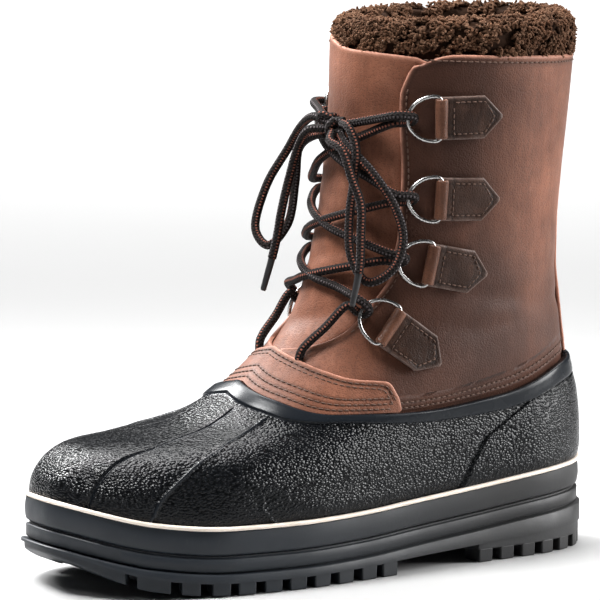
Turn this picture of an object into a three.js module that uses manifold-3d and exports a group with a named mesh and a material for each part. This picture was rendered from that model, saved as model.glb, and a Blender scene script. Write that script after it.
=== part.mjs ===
// A laced winter pac boot for the left foot: lugged rubber sole, moulded rubber bottom, leather shaft with
// a tongue, D-ring lacing and a fleece cuff. Millimetres, +Z up, toe towards -Y, outer side towards +X.
// The origin is on the floor, under the middle of the sole.
import * as THREE from "three";
import { mergeVertices } from "three/addons/utils/BufferGeometryUtils.js";
import Module from "manifold-3d";

const wasm = await Module();
wasm.setup();

// Overall sizes, and the gap between pieces that touch
const SOLE_LENGTH = 320;
const BALL_WIDTH = 124;
const COLLAR_HEIGHT = 262;
const GAP = 0.3;

// Sole: heights of its layers at the ball, and what the heel and the toe add
const TREAD_PLATE = 11;
const HEEL_LIFT = 12.5;
const TOE_SPRING = 21;
const SOLE_STEP = 9;
const MIDSOLE_HEIGHT = 13;
const GROOVE_HEIGHT = 1;
const GROOVE_DEPTH = 1.8;
const STEP_INSET = 1.6;
const PIPING_HEIGHT = 2.4;
const PIPING_WIDTH = 2;
const INSOLE_THICKNESS = 5;

// Tread: lugs round the edge, a solid rim at the toe, and rows of lugs down the middle.
// ARCH_RISE is the share of the heel's lift by which the sole's underside rises towards the heel.
const LUG_DEPTH = 6.5;
const LUG_WIDTH = 10.2;
const LUG_PITCH = 15;
const LUG_REACH = 15;
const LUG_INSET = 0.7;
const HEEL_LUG_DEPTH = 6.5;
const HEEL_LUG_WIDTH = 9;
const HEEL_LUG_PITCH = 14;
const HEEL_LENGTH = 86;
const CENTRE_LUG_LENGTH = 30;
const CENTRE_LUG_WIDTH = 8;
const CENTRE_LUG_LEAN = 3.2;
const TOE_LUG_ANGLE = 33;
const BROAD_LUG_ANGLE = 40.2;
const BROAD_LUG_WIDTH = 18;
const FOREFOOT_ANGLES = { from: 49.3, to: 97 };
const HEEL_LUG_SETBACK = 0.53;
const HEEL_END_ANGLE = 172;
const WEB_OVERLAP = 1;
const ARCH_RISE = 0.55;

// Walls
const SHELL_WALL = 3;
const LEATHER_WALL = 2.2;
const TONGUE_WALL = 2.4;
const TONGUE_RISE = 0.012;
const OVERLAY = 1.8;
const RIM_BAND = 10;
const RIM_STEP = 0.9;
const LEATHER_TUCK = 12;
const COUNTER_STEP = 1;
const RIB_RADIUS = 1.7;
const BACK_STAY_ANGLE = 13;
const PULL_TAB = 13;

// Fleece cuff
const CUFF_RISE = 22;
const CUFF_DEPTH = 40;
const CUFF_THICKNESS = 15;
const FLEECE_LUMP = 1.3;

// D-rings, their leather tabs, and the lace
const WIRE = 2.6;
const RING_HEIGHT = 26;
const RING_REACH = 20;
const TAB_WIDTH = 22.5;
const TAB_LENGTH = 33;
const TAB_POINT = 10;
const TAB_THICKNESS = 3;
const TAB_SEAT = 3 * GAP;
const TAB_ROLL = 2;
const BOW_TILT = 0.07;
const BOW_CORNER = 3;
const LACE = 4.6;
const LACE_REST = LACE / 2 + 1.2;
const BAR_RISE = TAB_SEAT + WIRE / 2 + TAB_ROLL;
const KNOT = { aside: 5, rise: 0.872, halfWide: 8, halfDeep: 6, halfTall: 7 };

// Facets. Every piece that goes round the boot is divided at the same angles and rows, so that nested faces
// stay parallel.
const COLUMNS = 36;
const TONGUE_COLUMNS = 6;
const TONGUE_ANGLE = (360 / COLUMNS) * TONGUE_COLUMNS;
const TONGUE_ROOT_ROW = 1;
const LEATHER_ROWS = 8;
const SHELL_ROWS = [0.16, 0.34, 0.54, 0.76, 1];
const SHELL_FOOT = PIPING_HEIGHT + 1;
const HEEL_FRONT = SOLE_LENGTH / 2 - HEEL_LENGTH;
const FIRST_HEEL_LUG = HEEL_FRONT + HEEL_LUG_SETBACK + HEEL_LUG_WIDTH / 2;

const DEGREE = Math.PI / 180;
const { lerp, clamp, smoothstep } = THREE.MathUtils;

// Sole profile from the heel's back (at 0) to the toe's tip (at 1).
// spring is a share of TOE_SPRING, lift of HEEL_LIFT, and thin what the tread lacks of its full depth.
const SOLE_PROFILE = [
  { at: 0, spring: 0, lift: 1, thin: 0 },
  { at: 0.14, spring: 0, lift: 0.8, thin: 0 },
  { at: 0.27, spring: 0, lift: 0.5, thin: 0 },
  { at: 0.4, spring: 0, lift: 0.25, thin: 0 },
  { at: 0.53, spring: 0, lift: 0.05, thin: 0 },
  { at: 0.64, spring: 0, lift: 0, thin: 0 },
  { at: 0.76, spring: 0.023, lift: 0, thin: 0 },
  { at: 0.88, spring: 0.2, lift: 0, thin: 0 },
  { at: 1, spring: 1, lift: 0, thin: 0.62 },
];

// Foot outline by angle, from the toe's tip (0) round to the heel's back (180).
// outer and inner are shares of half the ball width, towards +X and -X.
const FOOT_OUTLINE = [
  { angle: 0, outer: 0, inner: 0 },
  { angle: 15, outer: 0.3, inner: 0.49 },
  { angle: 30, outer: 0.6, inner: 0.78 },
  { angle: 45, outer: 0.84, inner: 0.945 },
  { angle: 60, outer: 0.98, inner: 1 },
  { angle: 75, outer: 1, inner: 0.905 },
  { angle: 90, outer: 0.93, inner: 0.75 },
  { angle: 105, outer: 0.825, inner: 0.66 },
  { angle: 120, outer: 0.76, inner: 0.67 },
  { angle: 135, outer: 0.715, inner: 0.69 },
  { angle: 150, outer: 0.59, inner: 0.59 },
  { angle: 165, outer: 0.348, inner: 0.35 },
  { angle: 180, outer: 0, inner: 0 },
];

// The last from the side, level by level from the sole (0) to the collar (1): front and back are where a
// ring's ends lie along the sole, frontRise and backRise their heights as shares of COLLAR_HEIGHT.
const SIDE_VIEW = [
  { at: 0, front: 0.983, frontRise: 0, back: 0.018, backRise: 0 },
  { at: 0.07, front: 0.977, frontRise: 0.034, back: 0.0125, backRise: 0.04 },
  { at: 0.14, front: 0.96, frontRise: 0.09, back: 0.0128, backRise: 0.094 },
  { at: 0.21, front: 0.926, frontRise: 0.149, back: 0.0132, backRise: 0.15 },
  { at: 0.28, front: 0.873, frontRise: 0.195, back: 0.0142, backRise: 0.216 },
  { at: 0.35, front: 0.808, frontRise: 0.2315, back: 0.0205, backRise: 0.286 },
  { at: 0.42, front: 0.728, frontRise: 0.2725, back: 0.0275, backRise: 0.345 },
  { at: 0.49, front: 0.635, frontRise: 0.3535, back: 0.0315, backRise: 0.402 },
  { at: 0.56, front: 0.557, frontRise: 0.453, back: 0.036, backRise: 0.46 },
  { at: 0.63, front: 0.515, frontRise: 0.533, back: 0.0415, backRise: 0.513 },
  { at: 0.7, front: 0.494, frontRise: 0.612, back: 0.0475, backRise: 0.578 },
  { at: 0.78, front: 0.4775, frontRise: 0.694, back: 0.047, backRise: 0.66 },
  { at: 0.86, front: 0.4635, frontRise: 0.795, back: 0.0405, backRise: 0.76 },
  { at: 0.93, front: 0.453, frontRise: 0.905, back: 0.03, backRise: 0.88 },
  { at: 1, front: 0.448, frontRise: 1.03, back: 0.021, backRise: 1 },
];

// The last's rings: half is the half width as a share of half the ball width, hug how far a ring follows
// the sole's top, and foot how far its outline is a foot's and not an oval.
const RINGS = [
  { at: 0, half: 0.89, hug: 1, foot: 1 },
  { at: 0.07, half: 0.93, hug: 1, foot: 1 },
  { at: 0.14, half: 0.922, hug: 0.9, foot: 0.97 },
  { at: 0.21, half: 0.889, hug: 0.75, foot: 0.88 },
  { at: 0.28, half: 0.836, hug: 0.55, foot: 0.74 },
  { at: 0.35, half: 0.795, hug: 0.35, foot: 0.55 },
  { at: 0.42, half: 0.775, hug: 0.2, foot: 0.36 },
  { at: 0.49, half: 0.765, hug: 0.1, foot: 0.2 },
  { at: 0.56, half: 0.74, hug: 0, foot: 0.1 },
  { at: 0.63, half: 0.735, hug: 0, foot: 0.04 },
  { at: 0.7, half: 0.74, hug: 0, foot: 0 },
  { at: 0.78, half: 0.76, hug: 0, foot: 0 },
  { at: 0.86, half: 0.795, hug: 0, foot: 0 },
  { at: 0.93, half: 0.827, hug: 0, foot: 0 },
  { at: 1, half: 0.864, hug: 0, foot: 0 },
];
const OVAL_BLUNTNESS = 0.92;

// Top edge of the rubber bottom: its height by angle, as a share of COLLAR_HEIGHT.
const RIM_LINE = [
  { angle: 0, rise: 0.372 },
  { angle: 30, rise: 0.347 },
  { angle: 60, rise: 0.322 },
  { angle: 90, rise: 0.32 },
  { angle: 120, rise: 0.335 },
  { angle: 150, rise: 0.378 },
  { angle: 180, rise: 0.392 },
];

// Throat: half its opening angle in degrees by height, as a share of COLLAR_HEIGHT.
const THROAT = [
  { rise: 0.44, angle: 3 },
  { rise: 0.448, angle: 20 },
  { rise: 0.46, angle: 30 },
  { rise: 0.48, angle: 37 },
  { rise: 0.51, angle: 41 },
  { rise: 0.55, angle: 46 },
  { rise: 0.585, angle: 49.5 },
  { rise: 0.645, angle: 49.5 },
  { rise: 0.7, angle: 48.5 },
  { rise: 0.785, angle: 46 },
  { rise: 0.89, angle: 41.5 },
  { rise: 0.94, angle: 40.5 },
  { rise: 0.97, angle: 42.5 },
  { rise: 1.0, angle: 46.5 },
  { rise: 1.02, angle: 55 },
];

// Top edge of the vamp piece: its height by angle, as a share of COLLAR_HEIGHT.
const VAMP_LINE = [
  { angle: 0, rise: 0.44 },
  { angle: 20, rise: 0.424 },
  { angle: 40, rise: 0.403 },
  { angle: 55, rise: 0.388 },
  { angle: 68, rise: 0.382 },
  { angle: 76, rise: 0.358 },
  { angle: 84, rise: 0.325 },
];

// Tabs and rings: where the bar lies, and the way the tab points, in degrees below the level.
const TABS = [
  { angle: 61, rise: 0.897, slope: 0 },
  { angle: 66, rise: 0.737, slope: 3 },
  { angle: 66.5, rise: 0.607, slope: 12 },
  { angle: 56, rise: 0.484, slope: 36 },
];

// Where the lace comes out of the vamp under the throat.
const SLIT = { angle: 22, rise: 0.437 };

// Ribs of the rubber bottom: angle in degrees by level, between the sole (0) and the rim band (1).
const RIBS = [
  [
    { level: 0.0, angle: 18.5 },
    { level: 0.2, angle: 20 },
    { level: 0.4, angle: 21.5 },
    { level: 0.59, angle: 23.5 },
    { level: 0.8, angle: 17.5 },
    { level: 1.0, angle: 14.5 },
  ],
  [
    { level: 0.0, angle: 38 },
    { level: 0.2, angle: 39.5 },
    { level: 0.45, angle: 43.5 },
    { level: 0.6, angle: 45 },
    { level: 0.8, angle: 42 },
    { level: 1.0, angle: 35.5 },
  ],
];

// Front edge of the heel counter, as a step in the rubber: angle by level.
const COUNTER_LINE = [
  { level: 0.0, angle: 113 },
  { level: 0.25, angle: 115 },
  { level: 0.45, angle: 117 },
  { level: 0.63, angle: 119 },
  { level: 0.8, angle: 124 },
  { level: 1.0, angle: 131 },
];

// Loose stretches of the lace, from the knot on: angle and height as above, and out from the last in mm.
const LOOSE = {
  lace_loop_outer: [
    { angle: 13, rise: 0.881, out: 7 },
    { angle: 19, rise: 0.876, out: 10.5 },
    { angle: 25, rise: 0.838, out: 13 },
    { angle: 26, rise: 0.78, out: 13 },
    { angle: 26.5, rise: 0.7, out: 13 },
    { angle: 31, rise: 0.618, out: 13 },
    { angle: 40, rise: 0.573, out: 13.5 },
    { angle: 49, rise: 0.6, out: 14 },
    { angle: 51, rise: 0.66, out: 14 },
    { angle: 46, rise: 0.721, out: 13 },
    { angle: 34, rise: 0.79, out: 13 },
    { angle: 18, rise: 0.842, out: 9.5 },
    { angle: 12, rise: 0.858, out: 6 },
  ],
  lace_loop_inner: [
    { angle: 1, rise: 0.884, out: 7 },
    { angle: -6, rise: 0.888, out: 9 },
    { angle: -20, rise: 0.862, out: 11 },
    { angle: -29, rise: 0.81, out: 17 },
    { angle: -32, rise: 0.73, out: 27 },
    { angle: -31, rise: 0.635, out: 29 },
    { angle: -28, rise: 0.61, out: 20 },
    { angle: -27, rise: 0.66, out: 12 },
    { angle: -27, rise: 0.745, out: 11 },
    { angle: -21, rise: 0.815, out: 11 },
    { angle: -8, rise: 0.847, out: 8 },
    { angle: 1, rise: 0.856, out: 6 },
  ],
  lace_end_outer: [
    { angle: 9, rise: 0.862, out: 9 },
    { angle: 13, rise: 0.845, out: 15 },
    { angle: 21, rise: 0.83, out: 18 },
    { angle: 27, rise: 0.776, out: 19 },
    { angle: 32, rise: 0.728, out: 19 },
    { angle: 34, rise: 0.667, out: 19 },
    { angle: 36, rise: 0.6, out: 19 },
    { angle: 37, rise: 0.516, out: 17 },
  ],
  lace_end_inner: [
    { angle: 4, rise: 0.868, out: 9 },
    { angle: -2, rise: 0.862, out: 13.5 },
    { angle: -9, rise: 0.832, out: 14 },
    { angle: -15, rise: 0.755, out: 15.5 },
    { angle: -17, rise: 0.69, out: 16.5 },
    { angle: -19, rise: 0.62, out: 16 },
    { angle: -21, rise: 0.515, out: 15.5 },
  ],
};

// A smooth curve through a table's column, straight beyond its ends.
function column(rows, from, to) {
  const xs = rows.map((row) => row[from]);
  const ys = rows.map((row) => row[to]);
  const last = xs.length - 1;
  const rate = (i) => (ys[i + 1] - ys[i]) / (xs[i + 1] - xs[i]);
  const slopes = ys.map((y, i) => {
    if (i === 0) return rate(0);
    if (i === last) return rate(last - 1);
    const [before, after] = [rate(i - 1), rate(i)];
    return before * after <= 0 ? 0 : (2 * before * after) / (before + after);
  });
  return (x) => {
    if (x <= xs[0]) return ys[0] + slopes[0] * (x - xs[0]);
    if (x >= xs[last]) return ys[last] + slopes[last] * (x - xs[last]);
    const i = xs.findIndex((next, k) => k > 0 && x <= next) - 1;
    const width = xs[i + 1] - xs[i];
    const t = (x - xs[i]) / width;
    const hold = (1 + 2 * t) * (1 - t) ** 2 * ys[i] + t * t * (3 - 2 * t) * ys[i + 1];
    return hold + width * (t * (1 - t) ** 2 * slopes[i] + t * t * (t - 1) * slopes[i + 1]);
  };
}

const springAt = column(SOLE_PROFILE, "at", "spring");
const liftAt = column(SOLE_PROFILE, "at", "lift");
const thinAt = column(SOLE_PROFILE, "at", "thin");
const outerAt = column(FOOT_OUTLINE, "angle", "outer");
const innerAt = column(FOOT_OUTLINE, "angle", "inner");
const rimRiseAt = column(RIM_LINE, "angle", "rise");
const vampRiseAt = column(VAMP_LINE, "angle", "rise");
const throatAngleAt = column(THROAT, "rise", "angle");
const counterAngleAt = column(COUNTER_LINE, "level", "angle");
const frontAt = column(SIDE_VIEW, "at", "front");
const frontRiseAt = column(SIDE_VIEW, "at", "frontRise");
const backAt = column(SIDE_VIEW, "at", "back");
const backRiseAt = column(SIDE_VIEW, "at", "backRise");
const halfWidthAt = column(RINGS, "at", "half");
const hugAt = column(RINGS, "at", "hug");
const footShareAt = column(RINGS, "at", "foot");

// Heights of the sole's layers at a place along it
const alongOf = (y) => 0.5 - y / SOLE_LENGTH;
const treadHeight = (y) => TOE_SPRING * springAt(alongOf(y));
const treadDepth = (y) => 1 - thinAt(alongOf(y));
const plateHeight = (y) =>
  treadHeight(y) + TREAD_PLATE * treadDepth(y) + HEEL_LIFT * liftAt(alongOf(y));
const stepHeight = (y) => plateHeight(y) + SOLE_STEP;
const featherHeight = (y) => stepHeight(y) + MIDSOLE_HEIGHT;

const angleFrom = (phi) => {
  const turned = Math.abs(THREE.MathUtils.euclideanModulo(phi + Math.PI, 2 * Math.PI) - Math.PI);
  return turned / DEGREE;
};
function footSide(phi) {
  const angle = angleFrom(phi);
  return Math.sin(phi) >= 0 ? outerAt(angle) : -innerAt(angle);
}

// A point of the last's surface: phi runs round from the toe by the outer side, level from sole to collar.
function lastPoint(phi, level) {
  const share = (1 + Math.cos(phi)) / 2;
  const y = SOLE_LENGTH * (0.5 - lerp(backAt(level), frontAt(level), share));
  const rise = lerp(backRiseAt(level), frontRiseAt(level), share);
  const oval = Math.sign(Math.sin(phi)) * Math.abs(Math.sin(phi)) ** OVAL_BLUNTNESS;
  const x = (BALL_WIDTH / 2) * halfWidthAt(level) * lerp(oval, footSide(phi), footShareAt(level));
  return new THREE.Vector3(x, y, COLLAR_HEIGHT * rise + hugAt(level) * featherHeight(y));
}

function lastNormal(phi, level) {
  const [turn, climb] = [0.02, 0.004];
  const round = lastPoint(phi + turn, level).sub(lastPoint(phi - turn, level));
  const up = lastPoint(phi, level + climb).sub(lastPoint(phi, level - climb));
  return round.cross(up).normalize();
}

const surface = (phi, level, out) => lastPoint(phi, level).addScaledVector(lastNormal(phi, level), out);

// The level at which the last's surface reaches a height.
function levelAt(phi, height) {
  let [low, high] = [0, 1.2];
  for (let i = 0; i < 24; i++) {
    const middle = (low + high) / 2;
    if (lastPoint(phi, middle).z < height) low = middle;
    else high = middle;
  }
  return (low + high) / 2;
}

// The level reached from another one by going a distance up (or, if negative, down) the surface.
function slide(phi, level, distance) {
  const [steps, small] = [10, 0.002];
  let reached = level;
  for (let i = 0; i < steps; i++) {
    const speed = lastPoint(phi, reached + small).distanceTo(lastPoint(phi, reached - small)) / (2 * small);
    reached += distance / steps / speed;
  }
  return reached;
}

const rimTop = (phi) => levelAt(phi, COLLAR_HEIGHT * rimRiseAt(angleFrom(phi)));
const rimLevel = (phi, below = 0) => slide(phi, rimTop(phi), -below);

// Outline of the sole, set in by a distance
function soleOutline(phi, inset) {
  const at = (a) => new THREE.Vector2((BALL_WIDTH / 2) * footSide(a), (-SOLE_LENGTH / 2) * Math.cos(a));
  const along = at(phi + 0.03).sub(at(phi - 0.03)).normalize();
  return at(phi).add(new THREE.Vector2(-along.y, along.x).multiplyScalar(inset));
}

const columnAngle = (i) => (2 * Math.PI * i) / COLUMNS;
const eachColumn = (pointAt) => Array.from({ length: COLUMNS }, (_, i) => pointAt(columnAngle(i)));

function solidFrom(geometry) {
  const bare = geometry.index ? geometry.toNonIndexed() : geometry.clone();
  bare.deleteAttribute("normal");
  bare.deleteAttribute("uv");
  const merged = mergeVertices(bare, 1e-4);
  const vertProperties = merged.attributes.position.array;
  const triVerts = new Uint32Array(merged.index.array);
  return new wasm.Manifold(new wasm.Mesh({ numProp: 3, vertProperties, triVerts }));
}

function geometryFrom(solid) {
  const mesh = solid.getMesh();
  const geometry = new THREE.BufferGeometry();
  geometry.setAttribute("position", new THREE.BufferAttribute(new Float32Array(mesh.vertProperties), 3));
  geometry.setIndex(new THREE.BufferAttribute(new Uint32Array(mesh.triVerts), 1));
  geometry.computeVertexNormals();
  return geometry;
}

function fromFaces(points, faces) {
  const geometry = new THREE.BufferGeometry();
  const numbers = points.flatMap((p) => [p.x, p.y, p.z]);
  geometry.setAttribute("position", new THREE.Float32BufferAttribute(numbers, 3));
  geometry.setIndex(faces.flat());
  return geometry;
}

const quad = (a, b, c, d) => [[a, b, c], [a, c, d]];

// A wall with two faces on a grid of columns by rows. place(i, j, side) gives a vertex, side 0 inside and
// 1 outside. The columns close into a ring, or stop at two cut edges.
function wall(columns, rows, closed, place) {
  const across = closed ? columns : columns + 1;
  const points = [0, 1].flatMap((side) =>
    Array.from({ length: (rows + 1) * across }, (_, k) => place(k % across, Math.floor(k / across), side)),
  );
  const id = (i, j, side) => side * (rows + 1) * across + j * across + (closed ? i % columns : i);
  const faces = [];
  for (let i = 0; i < columns; i++) {
    for (let j = 0; j < rows; j++) {
      faces.push(...quad(id(i, j, 1), id(i + 1, j, 1), id(i + 1, j + 1, 1), id(i, j + 1, 1)));
      faces.push(...quad(id(i, j, 0), id(i, j + 1, 0), id(i + 1, j + 1, 0), id(i + 1, j, 0)));
    }
    faces.push(...quad(id(i, 0, 0), id(i + 1, 0, 0), id(i + 1, 0, 1), id(i, 0, 1)));
    faces.push(...quad(id(i, rows, 1), id(i + 1, rows, 1), id(i + 1, rows, 0), id(i, rows, 0)));
  }
  if (!closed) {
    for (let j = 0; j < rows; j++) {
      const end = columns;
      faces.push(...quad(id(0, j, 0), id(0, j, 1), id(0, j + 1, 1), id(0, j + 1, 0)));
      faces.push(...quad(id(end, j, 1), id(end, j, 0), id(end, j + 1, 0), id(end, j + 1, 1)));
    }
  }
  return solidFrom(fromFaces(points, faces));
}

// A slab of the sole through rings of points, closed above and below by strips across the sole.
function slab(rings) {
  const count = rings[0].length;
  const points = rings.flat();
  const faces = [];
  for (let k = 0; k + 1 < rings.length; k++) {
    for (let i = 0; i < count; i++) {
      const next = (i + 1) % count;
      faces.push(...quad(k * count + i, k * count + next, (k + 1) * count + next, (k + 1) * count + i));
    }
  }
  for (const [base, up] of [
    [0, false],
    [(rings.length - 1) * count, true],
  ]) {
    for (let i = 0; i < count / 2; i++) {
      const [a, b] = [base + i, base + i + 1];
      const [c, d] = [base + ((count - i) % count), base + count - i - 1];
      const strip = [];
      if (a !== c) strip.push([a, b, c]);
      if (b !== d) strip.push([b, d, c]);
      faces.push(...strip.map((face) => (up ? face : [...face].reverse())));
    }
  }
  return solidFrom(fromFaces(points, faces));
}

const soleRing = (inset, heightOf) =>
  eachColumn((phi) => {
    const p = soleOutline(phi, inset);
    return new THREE.Vector3(p.x, p.y, heightOf(p.y));
  });

// The last's side at a height over its edge on the sole, pushed out level by a distance
function upright(phi, height, out) {
  const level = levelAt(phi, featherHeight(lastPoint(phi, 0).y) + height);
  const flat = lastNormal(phi, level).setZ(0).normalize();
  const p = lastPoint(phi, level).addScaledVector(flat, out);
  return p.setZ(featherHeight(p.y) + height);
}
const uprightRing = (height, out) => eachColumn((phi) => upright(phi, height, out));

// A block with a polygon for its plan, standing between two heights that follow the sole.
function block(plan, lowOf, highOf) {
  const count = plan.length;
  const raised = (heightOf) => plan.map((p) => new THREE.Vector3(p.x, p.y, heightOf(p.y)));
  const points = [...raised(lowOf), ...raised(highOf)];
  const faces = THREE.ShapeUtils.triangulateShape(plan, []).flatMap(([a, b, c]) => [
    [a, c, b],
    [a + count, b + count, c + count],
  ]);
  plan.forEach((_, i) => {
    const next = (i + 1) % count;
    faces.push(...quad(i, next, next + count, i + count));
  });
  return solidFrom(fromFaces(points, faces));
}

// The sole's underside between the lugs
const archRise = (y) => ARCH_RISE * HEEL_LIFT * liftAt(alongOf(y));
const webHeight = (y) => treadHeight(y) + LUG_DEPTH * treadDepth(y) + archRise(y);

// One lug on the sole's edge, centred on an angle
function edgeLug(phi, width, depthOf) {
  const step = 0.01;
  const turn = (width / 2) * (step / soleOutline(phi + step, 0).distanceTo(soleOutline(phi, 0)));
  const plan = [
    soleOutline(phi - turn, LUG_INSET),
    soleOutline(phi + turn, LUG_INSET),
    soleOutline(phi + turn * 0.8, LUG_REACH),
    soleOutline(phi - turn * 0.8, LUG_REACH),
  ];
  return block(plan, treadHeight, (y) => depthOf(y) + WEB_OVERLAP);
}

// Angles of a run of lugs on one side, a pitch apart along the edge
function lugAngles(fromDegrees, toDegrees, side, pitch) {
  const angles = [];
  const step = 0.5 * DEGREE;
  let walked = 0;
  for (let a = fromDegrees * DEGREE; a <= toDegrees * DEGREE; a += step) {
    if (walked <= 0) {
      angles.push(side * a);
      walked += pitch;
    }
    walked -= soleOutline(side * a, 0).distanceTo(soleOutline(side * (a + step), 0));
  }
  return angles;
}

function makeOutsole() {
  const body = slab([
    soleRing(0, webHeight),
    soleRing(0, plateHeight),
    soleRing(GROOVE_DEPTH + STEP_INSET, plateHeight),
    soleRing(GROOVE_DEPTH + STEP_INSET, (y) => plateHeight(y) + GROOVE_HEIGHT),
    soleRing(STEP_INSET, (y) => plateHeight(y) + GROOVE_HEIGHT),
    soleRing(STEP_INSET, (y) => stepHeight(y) - GROOVE_HEIGHT),
    soleRing(GROOVE_DEPTH + STEP_INSET, (y) => stepHeight(y) - GROOVE_HEIGHT),
    soleRing(GROOVE_DEPTH + STEP_INSET, stepHeight),
  ]);
  const parts = [body];

  // Heel block, with its front cut straight across
  const heelPlan = soleRing(LUG_INSET, () => 0)
    .filter((p) => p.y > HEEL_FRONT + 2)
    .map((p) => new THREE.Vector2(p.x, p.y));
  heelPlan.unshift(new THREE.Vector2(heelPlan[0].x + 0.5, HEEL_FRONT));
  heelPlan.push(new THREE.Vector2(heelPlan[heelPlan.length - 1].x - 0.5, HEEL_FRONT));
  parts.push(block(heelPlan, () => HEEL_LUG_DEPTH, (y) => webHeight(y) + WEB_OVERLAP));

  // The heel's first lugs stand under the front of its block
  const heelStart = Math.acos(-FIRST_HEEL_LUG / (SOLE_LENGTH / 2)) / DEGREE;
  const heelDepth = () => HEEL_LUG_DEPTH;
  for (const side of [1, -1]) {
    parts.push(edgeLug(side * BROAD_LUG_ANGLE * DEGREE, BROAD_LUG_WIDTH, webHeight));
    for (const phi of lugAngles(FOREFOOT_ANGLES.from, FOREFOOT_ANGLES.to, side, LUG_PITCH)) {
      parts.push(edgeLug(phi, LUG_WIDTH, webHeight));
    }
    for (const phi of lugAngles(heelStart, HEEL_END_ANGLE, side, HEEL_LUG_PITCH)) {
      parts.push(edgeLug(phi, HEEL_LUG_WIDTH, heelDepth));
    }
  }

  // Toe lug, a rim round the tip
  const arc = [-1, -0.75, -0.5, -0.25, 0, 0.25, 0.5, 0.75, 1].map((k) => k * TOE_LUG_ANGLE * DEGREE);
  const toePlan = [
    ...arc.map((a) => soleOutline(a, LUG_INSET)),
    ...arc.reverse().map((a) => soleOutline(a, LUG_REACH)),
  ];
  parts.push(block(toePlan, treadHeight, (y) => webHeight(y) + WEB_OVERLAP));

  // Middle lugs across the ball and the heel
  const middleRows = [
    { from: 0.5, to: 0.88, pitch: 0.048, topOf: webHeight },
    { from: 0.05, to: 0.24, pitch: 0.055, topOf: heelDepth },
  ];
  for (const { from, to, pitch, topOf } of middleRows) {
    for (let at = from, k = 0; at <= to; at += pitch, k++) {
      const y = SOLE_LENGTH * (0.5 - at);
      const lean = (k % 2 ? 1 : -1) * CENTRE_LUG_LEAN;
      const [halfLong, halfWide] = [CENTRE_LUG_LENGTH / 2, CENTRE_LUG_WIDTH / 2];
      const plan = [
        new THREE.Vector2(-halfLong, y - halfWide - lean),
        new THREE.Vector2(halfLong, y - halfWide + lean),
        new THREE.Vector2(halfLong, y + halfWide + lean),
        new THREE.Vector2(-halfLong, y + halfWide - lean),
      ];
      parts.push(block(plan, treadHeight, (yy) => topOf(yy) + WEB_OVERLAP));
    }
  }
  return wasm.Manifold.union(parts);
}

function makeMidsole() {
  return slab([
    soleRing(GROOVE_DEPTH + STEP_INSET, (y) => stepHeight(y) + GAP),
    soleRing(STEP_INSET, (y) => stepHeight(y) + GAP + GROOVE_HEIGHT),
    uprightRing(-GAP, SHELL_WALL + GAP + PIPING_WIDTH * 0.6),
  ]);
}

function makePiping() {
  const inside = SHELL_WALL + 2 * GAP;
  return wall(COLUMNS, 2, true, (i, j, side) => {
    const phi = columnAngle(i);
    const out = inside + side * PIPING_WIDTH * (j === 1 ? 1 : 0.7);
    return upright(phi, 0, out).lerp(upright(phi, SHELL_FOOT, out), ((j / 2) * PIPING_HEIGHT) / SHELL_FOOT);
  });
}

function makeInsole() {
  const inset = -(LEATHER_WALL + GAP);
  return slab([uprightRing(0, inset), uprightRing(INSOLE_THICKNESS, inset)]);
}

function makeShell() {
  const bodyRows = SHELL_ROWS.length + 2;
  const body = wall(COLUMNS, bodyRows + 1, true, (i, j, side) => {
    const phi = columnAngle(i);
    const out = GAP + side * SHELL_WALL;
    if (j < 2) return upright(phi, j * SHELL_FOOT, out);
    if (j < bodyRows) return surface(phi, SHELL_ROWS[j - 2] * rimLevel(phi, RIM_BAND), out);
    const below = j === bodyRows ? RIM_BAND - RIM_STEP / 2 : 0;
    return surface(phi, rimLevel(phi, below), out + side * RIM_STEP);
  });
  const ribs = RIBS.flatMap((rows) =>
    [1, -1].map((side) => {
      const angleAt = column(rows, "level", "angle");
      const path = Array.from({ length: 8 }, (_, k) => {
        const share = lerp(0.09, 0.98, k / 7);
        const phi = side * angleAt(share) * DEGREE;
        return surface(phi, share * rimLevel(phi, RIM_BAND), GAP + SHELL_WALL - RIB_RADIUS * 0.35);
      });
      return tube(path, RIB_RADIUS, 5);
    }),
  );
  const counterColumns = 12;
  const counter = wall(counterColumns, 5, false, (i, j, side) => {
    const share = lerp(0.1, 1, j / 5);
    const edge = counterAngleAt(share) * DEGREE;
    const phi = lerp(edge, 2 * Math.PI - edge, i / counterColumns);
    const out = GAP + SHELL_WALL / 2 + side * (SHELL_WALL / 2 + COUNTER_STEP);
    return surface(phi, share * rimLevel(phi, RIM_BAND), out);
  });
  return wasm.Manifold.union([body, counter, ...ribs]);
}

// A round bar along a path of points, with flat ends, or closed into a loop.
function tube(path, radius, sides, closed = false) {
  const count = path.length;
  const tangents = path.map((p, i) => {
    const before = path[closed ? (i + count - 1) % count : Math.max(i - 1, 0)];
    const after = path[closed ? (i + 1) % count : Math.min(i + 1, count - 1)];
    return after.clone().sub(before).normalize();
  });
  let normal = new THREE.Vector3(0.3, 0.2, 1).cross(tangents[0]).normalize();
  const points = path.flatMap((p, i) => {
    normal = normal.clone().addScaledVector(tangents[i], -normal.dot(tangents[i])).normalize();
    const binormal = tangents[i].clone().cross(normal);
    return Array.from({ length: sides }, (_, k) => {
      const turn = (2 * Math.PI * k) / sides;
      const aside = normal.clone().multiplyScalar(Math.cos(turn)).addScaledVector(binormal, Math.sin(turn));
      return p.clone().addScaledVector(aside, radius);
    });
  });
  const faces = [];
  for (let i = 0; i < (closed ? count : count - 1); i++) {
    for (let k = 0; k < sides; k++) {
      const [here, next] = [i * sides, ((i + 1) % count) * sides];
      const turn = (k + 1) % sides;
      faces.push(...quad(here + k, here + turn, next + turn, next + k));
    }
  }
  if (!closed) {
    for (let k = 1; k + 1 < sides; k++) {
      faces.push([0, k + 1, k]);
      faces.push([(count - 1) * sides, (count - 1) * sides + k, (count - 1) * sides + k + 1]);
    }
  }
  return solidFrom(fromFaces(points, faces));
}

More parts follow.
